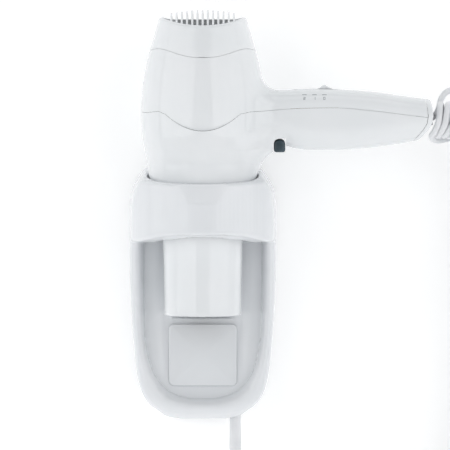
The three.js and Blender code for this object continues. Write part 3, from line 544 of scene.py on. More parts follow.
# %% Barrel outline
BARREL_OUTLINE = smooth_line([
    (-15, 28.5), (43, 30), (52, 31.8), (62, 34.4), (74, 37.4), (86, 40), (95, 41.1), (100, 41.6),
    (109, 43.5), (122, 45.4), (138, 46.2), (157, 45), (172, 42.4), (182, 40.1), (191, 37.5),
    (200, 34.9), (206, 33.3), (212, 31.7),
])
BARREL_HEIGHTS = np.linspace(-18, 212, 921)
BARREL_RADII = np.array([BARREL_OUTLINE(z) for z in BARREL_HEIGHTS])


def barrel_field(x, y, z):
    radius = np.interp(z, BARREL_HEIGHTS, BARREL_RADII)
    return 0.98 * (np.hypot(x, y - AXIS_Y) - radius)


# %% [markdown]
# The grip is lofted from a section with two wide chamfers, and runs into the barrel with a fillet
# that is larger below, where the hand's first finger rests.

# %% Grip field
GRIP_TOP = smooth_line([(30, 153.5), (56, 153.7), (88, 154.7), (103, 154.2), (133, 151.9),
                        (148, 149.6), (169, 146.8), (180, 145.2)])
GRIP_LOW = smooth_line([(30, 113.2), (56, 113.3), (62, 113), (70, 110.2), (80, 109), (91, 108.9),
                        (110, 109.3), (133, 111.6), (148, 113.8), (160, 116), (180, 119.5)])
GRIP_PLACES = np.linspace(30, 180, 601)
GRIP_TOPS = np.array([GRIP_TOP(x) for x in GRIP_PLACES])
GRIP_LOWS = np.array([GRIP_LOW(x) for x in GRIP_PLACES])
GRIP_HALF = 18.0
END_OUTLINE = [(164, 230), (166, 165), (170.6, 146.4), (172, 141), (172.7, 134.5), (171.8, 129),
               (168.6, 123.8), (161.6, 115.8), (154, 107), (120, 30), (-80, 30), (-80, 230)]


def grip_field(x, y, z):
    """The grip's solid without its slanted end."""
    top = np.interp(x, GRIP_PLACES, GRIP_TOPS)
    low = np.interp(x, GRIP_PLACES, GRIP_LOWS)
    wide = np.sqrt((y - AXIS_Y) ** 2 + 1) - 1
    upper = smooth_max(z - top, (wide - 9) * 0.572 + (z - top) * 0.82, 3)
    under = smooth_max(low - z, (wide - 8) * 0.774 + (low - z) * 0.633, 4)
    side = wide - GRIP_HALF + 0.6
    body = smooth_max(smooth_max(upper, under, 2), side, 5)
    return smooth_max(body, 20 - x, 2)


def body_field(x, y, z):
    """Barrel and grip in one, with the fillet between them."""
    fillet = 13 + 17 * np.clip((126 - z) / 16, 0, 1)
    return smooth_min(barrel_field(x, y, z), grip_field(x, y, z), fillet)


# %% [markdown]
# The push-button sits in an arch under the grip. The inside of the shell keeps its wall round it.

# %% Shell field
BUTTON_X = 57.6
ARCH_HALF = 4.9
ARCH_TOP = 117.7
arch_curve = [(BUTTON_X + ARCH_HALF * math.cos(a), ARCH_TOP - 3.9 + 3.9 * math.sin(a))
              for a in np.linspace(0, math.pi, 17)]
ARCH_OUTLINE = [(BUTTON_X + ARCH_HALF, 80)] + arch_curve + [(BUTTON_X - ARCH_HALF, 80)]


def shell_field(x, y, z):
    """The wall of the dryer body, open at both ends of the barrel."""
    outside = body_field(x, y, z)
    arch = outline_field(x, z, ARCH_OUTLINE)
    inside = np.maximum(outside + WALL, WALL - arch)
    return np.maximum(outside, -inside)


body_shell = field_skin("body_shell", shell_field, (-50, -108, 44), (182, -6, 196), 1.4)
print("body shell faces", len(body_shell.data.polygons))

# %% [markdown]
# The middle seam runs level round the back, dips in a wide smile at the front of the barrel and then
# follows the grip. A prism of everything under the seam splits the shell in two.

# %% Seams
SMILE_Z = 137.1
SMILE_HALF = 28.2
SMILE_DIP = 12.6
seam_line = smooth_line([(-60, 137.4), (-44, 137.4), (-33, 138.7),
                         (-SMILE_HALF, SMILE_Z), (SMILE_HALF, SMILE_Z),
                         (36, 138.3), (44, 138.6), (52, 139.2), (72.6, 140.6), (98, 141),
                         (128, 138.7), (150, 136), (172.7, 133.2), (190, 131)])


def seam_height(x):
    if abs(x) < SMILE_HALF:
        return SMILE_Z - SMILE_DIP * (1 - (x / SMILE_HALF) ** 2)
    return seam_line(x)


cap_wave = smooth_line([(0, 179.2), (5, 179.35), (10, 179.8), (18, 181.6), (25, 183.8), (29, 184.9),
                        (32.5, 185.3), (36, 184.9), (39, 183.8), (48, 181)])


def cap_seam_height(x):
    return cap_wave(abs(x))


def region(height, lift, edge_z, places):
    """Everything between a line over X and a level, as an outline."""
    line = [(x, height(x) + lift) for x in places]
    return line + [(places[-1], edge_z), (places[0], edge_z)]


across = np.concatenate([np.linspace(-70, 50, 121), np.linspace(52, 190, 70)])
SEAM_HALF_GAP = SEAM_GAP / 2
END_COLLAR = 3.75


def slanted_end(back):
    """The outline of everything before the grip's slanted end, moved back."""
    return [(x - back if x > 0 else x, z) for x, z in END_OUTLINE]


# %% Split the shell
def copy_piece(piece, name):
    twin = bpy.data.objects.new(name, piece.data.copy())
    bpy.context.scene.collection.objects.link(twin)
    return twin


BEHIND, BEFORE = 20, -130
rear_shell = copy_piece(body_shell, "body_upper_half")
front_shell = body_shell
front_shell.name = "body_lower_half"
combine(rear_shell, prism("cut", region(seam_height, SEAM_HALF_GAP, 0, across), BEHIND, BEFORE),
        "DIFFERENCE")
combine(rear_shell, prism("cut", region(cap_seam_height, -SEAM_HALF_GAP, 230,
                                        np.linspace(-60, 60, 121)), BEHIND, BEFORE), "DIFFERENCE")
combine(front_shell, prism("cut", region(seam_height, -SEAM_HALF_GAP, 51.8, across), BEHIND,
                           BEFORE), "INTERSECT")
for half in (rear_shell, front_shell):
    combine(half, prism("cut", slanted_end(END_COLLAR + 0.35), BEHIND, BEFORE), "INTERSECT")
print("rear", len(rear_shell.data.polygons), "front", len(front_shell.data.polygons))

# %% [markdown]
# The smile over the seam is pressed in: shallow at its upper edge and deeper at the seam. Its cutter
# is a crescent prism, less a barrel that shrinks towards the seam.

# %% Smile recess
def arc(dip):
    return [(x, SMILE_Z - dip * (1 - (x / SMILE_HALF) ** 2))
            for x in np.linspace(-SMILE_HALF, SMILE_HALF, 41)]


crescent = prism("smile", arc(SMILE_DIP + 4)[1:-1] + arc(4.6)[::-1], AXIS_Y, BEFORE)
depth = smooth_line([(115, 2.05), (124, 1.95), (132.5, 0.3), (137.5, 0.25)])
core = revolved("core", [(BARREL_OUTLINE(z) - depth(z), z) for z in np.linspace(115, 137.5, 30)],
                160, (0, AXIS_Y))
combine(crescent, core, "DIFFERENCE")
combine(rear_shell, crescent, "DIFFERENCE")

# %% [markdown]
# The button's window and arch, the slider's track and slot, and the two screw wells are cut last.

# %% Openings in the grip
button_low, button_high = corners("safety_button")
knob_low, knob_high = corners("slide_knob")
TRACK_FLOOR = 153.4
combine(front_shell, prism("arch", ARCH_OUTLINE, -20, -95), "DIFFERENCE")
combine(front_shell, block("window", (BUTTON_X - 4.6, BUTTON_X + 4.6), (AXIS_Y - 13.3, AXIS_Y + 13.3),
                           (108, 124)), "DIFFERENCE")


def stadium(x0, x1, half, corner):
    """A rounded rectangle in X and Y, centred on the grip."""
    return rounded_rectangle(x0, x1, AXIS_Y - half, AXIS_Y + half, corner, 7)


def plate(name, outline, low, high):
    """An outline in X and Y, pushed up from one level to another."""
    return skin(name, [[(x, y, z) for x, y in outline] for z in (low, high)])


combine(rear_shell, plate("track", stadium(66.3, 101.7, 5.4, 2.5), TRACK_FLOOR, 160), "DIFFERENCE")
combine(rear_shell, plate("slot", stadium(knob_low[0] - 12, knob_high[0] - 3, 2.2, 1), 148, 156),
        "DIFFERENCE")
SCREW_PLACES = [110.2, 143.4]
WELL_DEPTH = 5
for x in SCREW_PLACES:
    floor = GRIP_LOW(x)
    tower = revolved("tower", [(5, floor + 1), (5, floor + 9)], 32, (x, AXIS_Y))
    combine(front_shell, tower, "UNION")
    well = revolved("well", [(3.7, floor - 6), (3.7, floor + WELL_DEPTH)], 32, (x, AXIS_Y))
    combine(front_shell, well, "DIFFERENCE")
    hole = revolved("hole", [(1.7, floor + 1), (1.7, floor + 12)], 24, (x, AXIS_Y))
    combine(front_shell, hole, "DIFFERENCE")
for half in (rear_shell, front_shell):
    field_normals(half, shell_field)
finished(rear_shell, "dryer", "shell", "rear_shell")
finished(front_shell, "dryer", "shell", "front_shell")

# %% [markdown]
# The collar closes the grip's slanted end and holds the cord's bushing.

# %% End collar
END_FAR = slanted_end(0)


def collar_field(x, y, z):
    return smooth_max(body_field(x, y, z), outline_field(x, z, END_FAR), 1.6)


end_collar = field_skin("grip_end_collar", collar_field, (140, -80, 104), (180, -34, 160), 0.9)
combine(end_collar, prism("cut", slanted_end(END_COLLAR), BEHIND, BEFORE), "DIFFERENCE")
bore = tube("bore", np.array([(x, AXIS_Y, CORD_Z) for x in np.linspace(140, 180, 9)]), 4.8, 32)
combine(end_collar, bore, "DIFFERENCE")
field_normals(end_collar, collar_field)
finished(end_collar, "dryer", "shell", "handle_end_collar")

# %% [markdown]
# The nozzle and the inlet cap are turned shapes. The cap's two edges are not level, so its wall is a
# grid that starts on the seam's wave and ends on the lip's saddle.

# %% Nozzle
NOZZLE_JOINT = 51.4
LIP_ROUND = 0.9
heights = np.linspace(MOUTH_Z + LIP_ROUND, NOZZLE_JOINT, 34)
outer = [(BARREL_OUTLINE(z), z) for z in heights]
lip = [(NOZZLE_R - LIP_ROUND + LIP_ROUND * math.sin(a), MOUTH_Z + LIP_ROUND * (1 - math.cos(a)))
       for a in np.radians([0, 22, 45, 68])]
inner = [(max(r - WALL, 0), z) for r, z in outer[::-1]]
inner[-1] = (NOZZLE_R - WALL, MOUTH_Z)


def closed_band(name, sections):
    """A closed skin over sections that are loops themselves, joined in a ring."""
    sections = np.asarray(sections, float)
    count, loop = sections.shape[:2]
    faces = []
    for s in range(count):
        for k in range(loop):
            a, b = s * loop + k, s * loop + (k + 1) % loop
            c, d = ((s + 1) % count) * loop + (k + 1) % loop, ((s + 1) % count) * loop + k
            faces.append((a, b, c, d))
    return face_out(new_piece(name, sections.reshape(-1, 3), faces))


def ring_of(name, profile, sides=160):
    """A closed ring of revolution round the dryer's axis from a looped profile."""
    return closed_band(name, [[(r * math.cos(a), AXIS_Y + r * math.sin(a), z) for r, z in profile]
                              for a in np.linspace(0, 2 * math.pi, sides, endpoint=False)])


outlet_nozzle = shade(ring_of("nozzle", lip + outer + inner))
finished(outlet_nozzle, "dryer", "shell", "outlet_nozzle")

# %% Inlet cap
def rim_height(x):
    return 203.1 + 5.2 * min(1.1, abs(x) / 33) ** 2


sections = []
for a in np.linspace(0, 2 * math.pi, 192, endpoint=False):
    low_r = 40.5
    for _ in range(3):
        seam = cap_seam_height(low_r * math.cos(a)) + SEAM_HALF_GAP
        low_r = BARREL_OUTLINE(seam)
    rim = rim_height(33.5 * math.cos(a))
    loop = [(BARREL_OUTLINE(z), z) for z in np.linspace(seam, rim - 2.3, 26)]
    edge_r = loop[-1][0]
    loop += [(edge_r - 2 + 2 * math.cos(t) - 0.4 * math.sin(t), rim - 2.3 + 2.3 * math.sin(t))
             for t in np.radians([15, 32, 50, 68, 90])]
    loop += [(edge_r - 2.9, rim - 0.5), (edge_r - 3.1, rim - 1.6)]
    loop += [(BARREL_OUTLINE(z) - 2.9, z) for z in np.linspace(rim - 3.4, seam + 1, 12)]
    loop += [(low_r - 2.7, seam)]
    sections.append([(r * math.cos(a), AXIS_Y + r * math.sin(a), z) for r, z in loop])
rear_cap = closed_band("inlet_cap", sections)
skirt_r = 39.4 - WALL - 0.4
skirt = ring_of("skirt", [(skirt_r, 166), (skirt_r + 0.9, 190), (skirt_r - 1.4, 190),
                          (skirt_r - 1.6, 166)], 96)
combine(rear_cap, skirt, "UNION")

# %% [markdown]
# The slats of the inlet all follow one rule: they are arches over the opening, as long as the chord
# they span and higher in the middle. Geometry Nodes copy one bar along a line and bend each copy.

# %% Node helpers
MATH = "ShaderNodeMath"


def operate(tree, kind, operation, *terms):
    """Adds a node of any kind that has an operation, fed by links or numbers, and gives its output."""
    node = add(tree, kind, operation=operation)
    for i, term in enumerate(terms):
        if isinstance(term, (int, float)):
            node.inputs[i].default_value = term
        else:
            tree.links.new(term, node.inputs[i])
    return node.outputs[0]


def new_tree(name, sizes):
    """A Geometry Nodes tree with named float inputs, in metres."""
    tree = bpy.data.node_groups.new(name, "GeometryNodeTree")
    tree.interface.new_socket("Geometry", in_out="INPUT", socket_type="NodeSocketGeometry")
    for label, value in sizes.items():
        kind = "NodeSocketInt" if isinstance(value, int) else "NodeSocketFloat"
        tree.interface.new_socket(label, in_out="INPUT", socket_type=kind)
    tree.interface.new_socket("Geometry", in_out="OUTPUT", socket_type="NodeSocketGeometry")
    return tree, add(tree, "NodeGroupInput"), add(tree, "NodeGroupOutput")


def grown(name, tree, sizes):
    """Runs a tree on a carrier object and returns the result as a plain mesh object."""
    carrier = bpy.data.objects.new(name, bpy.data.meshes.new(name))
    bpy.context.scene.collection.objects.link(carrier)
    grow = carrier.modifiers.new("grow", "NODES")
    grow.node_group = tree
    for item in tree.interface.items_tree:
        if item.in_out == "INPUT" and item.name in sizes:
            grow[item.identifier] = sizes[item.name]
    apply_modifiers(carrier)
    print(name, "faces", len(carrier.data.polygons))
    return carrier


def finish_tree(tree, geometry, material, group_output):
    """Ends a tree in Realize Instances and Set Material."""
    real = add(tree, "GeometryNodeRealizeInstances", [(geometry, "Geometry")])
    coat = add(tree, "GeometryNodeSetMaterial", [(real.outputs[0], "Geometry")],
               in_Material=MATERIALS[material])
    tree.links.new(coat.outputs[0], group_output.inputs[0])


# %% Inlet slats
slat_sizes = {"Slats": 13, "Pitch": 0.0039, "Thickness": 0.0015, "Depth": 0.0026,
              "Reach": 0.0324, "Crown": 0.2138, "Lip": 0.2042, "Axis": AXIS_Y * MM}
tree, given, result = new_tree("inlet_slats", slat_sizes)
size = given.outputs
bar = add(tree, "GeometryNodeMeshCube", in_Vertices_X=3, in_Vertices_Y=27, in_Vertices_Z=3)
bar_size = add(tree, "ShaderNodeCombineXYZ", [(size["Thickness"], "X"), (size["Depth"], "Z")],
               in_Y=2.0)
tree.links.new(bar_size.outputs[0], bar.inputs["Size"])
half_span = operate(tree, MATH, "MULTIPLY", operate(tree, MATH, "SUBTRACT", size["Slats"], 1.0), -0.5)
first = add(tree, "ShaderNodeCombineXYZ", [(operate(tree, MATH, "MULTIPLY", half_span, size["Pitch"]),
                                            "X")])
step = add(tree, "ShaderNodeCombineXYZ", [(size["Pitch"], "X")])
row = add(tree, "GeometryNodeMeshLine", [(size["Slats"], "Count"),
                                         (first.outputs[0], "Start Location"),
                                         (step.outputs[0], "Offset")])
copies = add(tree, "GeometryNodeInstanceOnPoints", [(row.outputs[0], "Points"),
                                                    (bar.outputs[0], "Instance")])
loose = add(tree, "GeometryNodeRealizeInstances", [(copies.outputs[0], "Geometry")])
place = add(tree, "GeometryNodeInputPosition")
axes = add(tree, "ShaderNodeSeparateXYZ", [(place.outputs[0], "Vector")])
px, py, pz = axes.outputs
side = operate(tree, MATH, "DIVIDE", px, size["Reach"])
side2 = operate(tree, MATH, "MULTIPLY", side, side)
chord = operate(tree, MATH, "MULTIPLY", size["Reach"],
                operate(tree, MATH, "SQRT", operate(tree, MATH, "SUBTRACT", 1.0, side2)))
lip_here = operate(tree, MATH, "ADD", size["Lip"], operate(tree, MATH, "MULTIPLY", side2, 0.0048))
crown_here = operate(tree, MATH, "SUBTRACT", size["Crown"],
                     operate(tree, MATH, "MULTIPLY", side2, 0.0042))
arch_here = operate(tree, MATH, "SUBTRACT", 1.0,
                    operate(tree, MATH, "POWER", operate(tree, MATH, "ABSOLUTE", py), 2.6))
rise = operate(tree, MATH, "MULTIPLY", operate(tree, MATH, "SUBTRACT", crown_here, lip_here), arch_here)
new_z = operate(tree, MATH, "ADD", operate(tree, MATH, "ADD", lip_here, rise),
                operate(tree, MATH, "SUBTRACT", pz, operate(tree, MATH, "MULTIPLY", size["Depth"], 0.5)))
new_y = operate(tree, MATH, "ADD", size["Axis"], operate(tree, MATH, "MULTIPLY", py, chord))
there = add(tree, "ShaderNodeCombineXYZ", [(px, "X"), (new_y, "Y"), (new_z, "Z")])
bent = add(tree, "GeometryNodeSetPosition", [(loose.outputs[0], "Geometry"),
                                             (there.outputs[0], "Position")])
finish_tree(tree, bent.outputs[0], "shell", result)
slats = face_out(grown("slats", tree, slat_sizes))
combine(rear_cap, slats, "UNION")
for y in (AXIS_Y - 20, AXIS_Y + 20):
    rib = block("rib", (-24.5, 24.5), (y - 0.7, y + 0.7), (203.4, 206.2))
    combine(rear_cap, rib, "UNION")
thumb = prism("thumb", [(x, 179.6 - 1.0 * (x / 10) ** 2) for x in np.linspace(-10, 10.5, 21)]
              + [(x, cap_seam_height(x) - 0.5) for x in np.linspace(10.5, -10, 21)], -90, BEFORE)
thumb_core = revolved("core", [(BARREL_OUTLINE(z) - 1.1 + 0.25 * (z - 177), z)
                               for z in np.linspace(170, 181, 12)], 160, (0, AXIS_Y))
combine(thumb, thumb_core, "DIFFERENCE")
combine(rear_cap, thumb, "DIFFERENCE")
shade(rear_cap)
finished(rear_cap, "inlet_cap", "shell", "rear_cap")

# %% [markdown]
# Behind the slats a fine dark mesh keeps hair out of the fan. It is two crossed rows of thin bars,
# each as long as the circle allows, inside a ring.

# %% Inlet mesh
filter_low, filter_high = corners("inlet_filter")
filter_z = (filter_low[2] + filter_high[2]) / 2
filter_sizes = {"Bars": 33, "Pitch": 0.0021, "Width": 0.00045, "Radius": filter_high[0] * MM,
                "Height": filter_z * MM, "Axis": AXIS_Y * MM}
tree, given, result = new_tree("inlet_mesh", filter_sizes)
size = given.outputs
rows = add(tree, "GeometryNodeJoinGeometry")
for turn in (0, 1):
    half_span = operate(tree, MATH, "MULTIPLY", operate(tree, MATH, "SUBTRACT", size["Bars"], 1.0), -0.5)
    start = add(tree, "ShaderNodeCombineXYZ",
                [(operate(tree, MATH, "MULTIPLY", half_span, size["Pitch"]), "X")])
    step = add(tree, "ShaderNodeCombineXYZ", [(size["Pitch"], "X")])
    row = add(tree, "GeometryNodeMeshLine", [(size["Bars"], "Count"),
                                             (start.outputs[0], "Start Location"),
                                             (step.outputs[0], "Offset")])
    where = add(tree, "ShaderNodeSeparateXYZ",
                [(add(tree, "GeometryNodeInputPosition").outputs[0], "Vector")])
    ratio = operate(tree, MATH, "DIVIDE", where.outputs[0], size["Radius"])
    squared = operate(tree, MATH, "MULTIPLY", ratio, ratio)
    chord = operate(tree, MATH, "MULTIPLY", size["Radius"],
                    operate(tree, MATH, "SQRT", operate(tree, MATH, "SUBTRACT", 1.0, squared)))
    length = add(tree, "ShaderNodeCombineXYZ", [(size["Width"], "X"), (chord, "Y"),
                                                (size["Width"], "Z")])
    unit = add(tree, "GeometryNodeMeshCube", in_Size=(1, 1.96, 1))
    bars = add(tree, "GeometryNodeInstanceOnPoints", [(row.outputs[0], "Points"),
                                                      (unit.outputs[0], "Instance"),
                                                      (length.outputs[0], "Scale")])
    height = operate(tree, MATH, "ADD", size["Height"], operate(tree, MATH, "MULTIPLY", size["Width"],
                                                          float(turn) - 0.5))
    shift = add(tree, "ShaderNodeCombineXYZ", [(size["Axis"], "Y"), (height, "Z")])
    placed = add(tree, "GeometryNodeTransform", [(bars.outputs[0], "Geometry"),
                                                 (shift.outputs[0], "Translation")])
    placed.inputs["Rotation"].default_value = (0, 0, turn * math.pi / 2)
    tree.links.new(placed.outputs[0], rows.inputs[0])
finish_tree(tree, rows.outputs[0], "inner", result)
inlet_mesh = grown("hair_filter", tree, filter_sizes)
rim_r = filter_high[0]
hoop = ring_of("hoop", [(rim_r, filter_low[2]), (rim_r, filter_high[2]),
                        (rim_r - 2, filter_high[2]), (rim_r - 2, filter_low[2])], 96)


def merge(piece, other):
    """Puts another piece's mesh into this one, without cutting either."""
    work = bmesh.new()
    work.from_mesh(piece.data)
    work.from_mesh(other.data)
    work.to_mesh(piece.data)
    work.free()
    bpy.data.objects.remove(other)
    return piece


merge(inlet_mesh, hoop)
finished(inlet_mesh, "inlet_cap", "inner", "inlet_filter")

# %% [markdown]
# The slider's knob is a low ridge with a peak for the thumb, and the push-button is a dark block with
# a rounded top. Both are outlines pushed through with a softened edge.

# %% Knob and button
def soft_prism(name, outline, back, front, edge, steps=4):
    """A prism whose outline draws in by a small radius at both ends."""
    outline = np.array(outline, float)
    after, before = np.roll(outline, -1, axis=0), np.roll(outline, 1, axis=0)
    along = after - before
    normal = np.stack([along[:, 1], -along[:, 0]], axis=1)
    normal /= np.linalg.norm(normal, axis=1)[:, None]
    area = np.sum(outline[:, 0] * after[:, 1] - after[:, 0] * outline[:, 1])
    normal *= 1 if area > 0 else -1
    rings = []
    for end, toward in ((back, -1), (front, 1)):
        turns = np.radians(np.linspace(0, 90, steps))
        for t in turns if toward < 0 else turns[::-1]:
            inset = edge * (1 - math.sin(t))
            y = end + toward * edge * (1 - math.cos(t))
            rings.append([(x - inset * nx, y, z - inset * nz)
                          for (x, z), (nx, nz) in zip(outline, normal)])
    return skin(name, rings)


KNOB_X = (knob_low[0] + knob_high[0]) / 2
KNOB_PEAK = knob_high[2]
flank = [(-6.7, 154.0), (-6.2, 154.6), (-4.6, 155.0), (-3, 155.8), (-1.7, 157.0), (-0.6, KNOB_PEAK),
         (0.4, KNOB_PEAK), (1.9, 156.9), (3.6, 155.7), (5.4, 155.0), (6.6, 154.5), (6.7, 154.0)]
knob = soft_prism("knob", [(KNOB_X + x, z) for x, z in flank], AXIS_Y + 4.8, AXIS_Y - 4.8, 0.5)
stem = block("stem", (KNOB_X - 3, KNOB_X + 3), (AXIS_Y - 1.6, AXIS_Y + 1.6), (knob_low[2], 154.4))
combine(knob, stem, "UNION")
finished(shade(knob, 40), "knob", "shell", "slide_knob")

button_bottom = button_low[2]
button_top = button_high[2] - 1.5
BUTTON_HALF, FOOT_R = 4.3, 1.9
curve = [(BUTTON_X + BUTTON_HALF * math.cos(a), ARCH_TOP - 4.6 + 4.0 * math.sin(a))
         for a in np.linspace(0, math.pi, 15)]
feet = [(BUTTON_X + s * (BUTTON_HALF - FOOT_R + FOOT_R * math.cos(t)),
         button_bottom + FOOT_R * (1 - math.sin(t)))
        for s, turns in ((-1, np.linspace(0, 1.57, 6)), (1, np.linspace(1.57, 0, 6))) for t in turns]
push_button = soft_prism("push_button", curve + feet, AXIS_Y + 13, AXIS_Y - 13, 1.6)
neck = block("neck", (BUTTON_X - 1.6, BUTTON_X + 1.6), (AXIS_Y - 8, AXIS_Y + 8),
             (112, button_top + 0.2))
flange = block("flange", (button_low[0], button_high[0]), (button_low[1], button_high[1]),
               (button_top, button_high[2]))
combine(push_button, neck, "UNION")
combine(push_button, flange, "UNION")
finished(shade(push_button, 40), "button", "slate", "safety_button")

# %% [markdown]
# Small printed marks beside the slider show its settings: a bar and a number for each notch. They are
# plain bars of ink laid on the upper chamfer of the grip.

# %% Slider marks
INK = 0.06
STROKE_HALF = 0.16
DIGIT_WIDE, DIGIT_HIGH, DIGIT_Z = 1.2, 1.7, 147.2
BAR_LOW, BAR_HIGH, BAR_HALF = 150.5, 150.9, 1.7


def on_chamfer(x, z):
    """The point of the front upper chamfer at a place in X and Z, in millimetres."""
    y = np.linspace(AXIS_Y - 18.5, AXIS_Y - 6, 120)
    values = body_field(np.full_like(y, x), y, np.full_like(y, z))
    return float(np.interp(0, -values, y))


def mark(x0, x1, z0, z1):
    """A thin closed patch of ink on the chamfer."""
    top = [(x, on_chamfer(x, z) - INK, z) for x, z in ((x0, z0), (x1, z0), (x1, z1), (x0, z1))]
    return skin("mark", [top, [(x, y + 0.2, z) for x, y, z in top]])


digits = {"2": "abged", "1": "bc", "0": "abcdef"}
strokes = {"a": (0, 1, 1, 1), "b": (1, 0.5, 1, 1), "c": (1, 0, 1, 0.5), "d": (0, 0, 1, 0),
           "e": (0, 0, 0, 0.5), "f": (0, 0.5, 0, 1), "g": (0, 0.5, 1, 0.5)}
marks = None
for label, x in (("2", 76.2), ("1", 83.6), ("0", 91.1)):
    patches = [mark(x - BAR_HALF, x + BAR_HALF, BAR_LOW, BAR_HIGH)]
    left = x - 0.7
    for part in digits[label]:
        x0, z0, x1, z1 = strokes[part]
        patches.append(mark(left + DIGIT_WIDE * x0 - STROKE_HALF,
                            left + DIGIT_WIDE * x1 + STROKE_HALF,
                            DIGIT_Z + DIGIT_HIGH * z0 - STROKE_HALF,
                            DIGIT_Z + DIGIT_HIGH * z1 + STROKE_HALF))
    for patch in patches:
        marks = patch if marks is None else merge(marks, patch)
marks.name = "slider_marks"
finished(marks, "dryer", "ink")

# %% [markdown]
# The holder's cover is one soft moulding: a flat pan with rounded sides, a scooped channel for the
# nozzle, a flat boss for the blanking panel, and a ring that carries the dryer. The same fields make it.

# %% Holder outline
HALF_WIDTHS = [(-93, 16), (-92.6, 19), (-91.6, 24.5), (-90.2, 29), (-88.2, 33.6), (-85.4, 38),
               (-82, 41.5), (-77.6, 44.4), (-71.6, 47), (-64.1, 48.9), (-56.6, 50.1), (-45, 51.3),
               (-34, 52.3), (-19, 53.4), (-4, 54.2), (11, 54.8), (26, 55.1), (48, 54.9),
               (63.4, 54.5), (71, 53.8), (75.4, 53), (79, 51.8), (83, 49.6), (87.4, 46.9),
               (93, 43.4)]
HOLDER_OUTLINE = [(w, z) for z, w in HALF_WIDTHS] + [(-w, z) for z, w in HALF_WIDTHS[::-1]]
FRONT_Y = -40
COVER_BACK = cover_high[1]
COVER_WALL = 2.5
RING_LIP_Z = 46.8
SHELF_Z = MOUTH_Z - 3.4
BOSS_Y = -30
BOSS_HALF = 28
BAY_R = 37               # the round bay that the nozzle stands in
BAY_TOP = 42
SEAT_FIT = 1.2           # ring to barrel
SEAT_R = 31.5            # narrowest part of the ring's opening
SEAT_LOW = 34.8
SLEEVE_HOLE_R = 4.8
SLEEVE_SEAT_Z = -86
RING_FRONT = cover_low[1]
RING_HALF = 55.0
SCOOP = [(0, -79), (32, -79), (40, -75), (44.5, -69.5), (48.5, -56), (51, -25), (52.4, 11),
         (52.4, 58), (0, 58)]
SCOOP_Y = -72
RING_PLAN = [(RING_HALF * math.cos(a), AXIS_Y + 6 + (AXIS_Y + 6 - RING_FRONT) * math.sin(a))
             for a in np.linspace(math.pi, 2 * math.pi, 49)] + [(RING_HALF, 8), (-RING_HALF, 8)]
RING_SIDE = [(8, 39.9), (-60, 39.9), (-72, 40.6), (-82, 42.6), (-92, 45.6), (-98, RING_LIP_Z),
             (-110, RING_LIP_Z), (RING_FRONT - 3, 71.7), (RING_FRONT - 0.6, 71.7),
             (RING_FRONT + 3.2, 85), (-80, 86.6), (-62, 89.4), (-44, 93), (8, 93)]


FACE_HALF = [(-78.6, 0), (-78.6, 10), (-77, 18), (-73.5, 26), (-68, 32), (-60, 37), (-48, 41),
             (-32, 43.5), (-10, 44), (60, 44)]
FACE_OUTLINE = [(w, z) for z, w in FACE_HALF] + [(-w, z) for z, w in FACE_HALF[:0:-1]]


def holder_field(x, y, z):
    """The holder's outer form, with no back face."""
    outline = outline_field(x, z, HOLDER_OUTLINE)
    pan = smooth_max(outline, FRONT_Y - y, 9)
    scoop = outline_field(np.hypot(x, y - SCOOP_Y), z, SCOOP)
    pan = smooth_max(pan, -scoop, 7)
    boss = smooth_max(smooth_max(np.abs(x) - BOSS_HALF, BOSS_Y - y, 3), z - MOUTH_Z + 0.4, 2)
    pan = smooth_min(pan, smooth_max(boss, outline, 3), 7)
    face = outline_field(x, z, FACE_OUTLINE)
    pan = smooth_max(pan, -np.maximum(face, y - BOSS_Y), 9)
    bay = np.maximum(np.hypot(x, y - AXIS_Y) - BAY_R, SHELF_Z - z)
    pan = smooth_max(pan, -bay, 1.5)
    ring = smooth_max(outline_field(x, y, RING_PLAN), outline_field(y, z, RING_SIDE), 3)
    ring = smooth_max(ring, outline, 3)
    form = smooth_min(pan, ring, 3)
    under = np.maximum(np.hypot(x, y - AXIS_Y) - BAY_R, z - BAY_TOP)
    form = smooth_max(form, -np.maximum(under, SHELF_Z - z), 1.5)
    seat = np.maximum(np.interp(z, BARREL_HEIGHTS, BARREL_RADII) + SEAT_FIT, SEAT_R)
    throat = np.maximum(np.hypot(x, y - AXIS_Y) - seat, SEAT_LOW - z)
    return smooth_max(form, -throat, 1.6)


def cover_field(x, y, z):
    """The cover's wall: the form, hollow behind, and open at the wall."""
    form = holder_field(x, y, z)
    wall = np.maximum(form, -(form + COVER_WALL))
    sleeve = np.maximum(np.hypot(x - SLEEVE_X, y - SLEEVE_Y) - SLEEVE_HOLE_R, z - SLEEVE_SEAT_Z)
    return np.maximum(np.maximum(wall, y - COVER_BACK), -sleeve)


holder_cover = field_skin("wall_cover", cover_field, (-57, -105.5, -95), (57, -1.5, 95), 1.35)
print("cover faces", len(holder_cover.data.polygons))

# %% [markdown]
# The blanking panel sits flush in its pocket with a thin groove all round. Its edge is slightly
# rounded, which catches a fine line of light below and a fine shadow above.

# %% Blanking panel
panel_low, panel_high = corners("blanking_panel")
PANEL_GAP = 0.12
pocket = prism("pocket", rounded_rectangle(panel_low[0] - PANEL_GAP, panel_high[0] + PANEL_GAP,
                                           panel_low[2] - PANEL_GAP, panel_high[2] + PANEL_GAP, 4),
               panel_high[1] + PANEL_GAP, -46)
combine(holder_cover, pocket, "DIFFERENCE")
field_normals(holder_cover, cover_field)
finished(holder_cover, "holder", "holder", "holder_cover")

panel = soft_prism("service_panel", rounded_rectangle(panel_low[0], panel_high[0], panel_low[2],
                                                      panel_high[2], 3.75),
                   panel_high[1], panel_low[1] - 0.35, 0.8)
finished(shade(panel, 50), "holder", "holder", "blanking_panel")

# %% [markdown]
# A ribbed PVC sleeve carries the cord out of the holder, so the cord can't kink at the edge. Its ribs
# are copies of one ring, set along a line by Geometry Nodes.

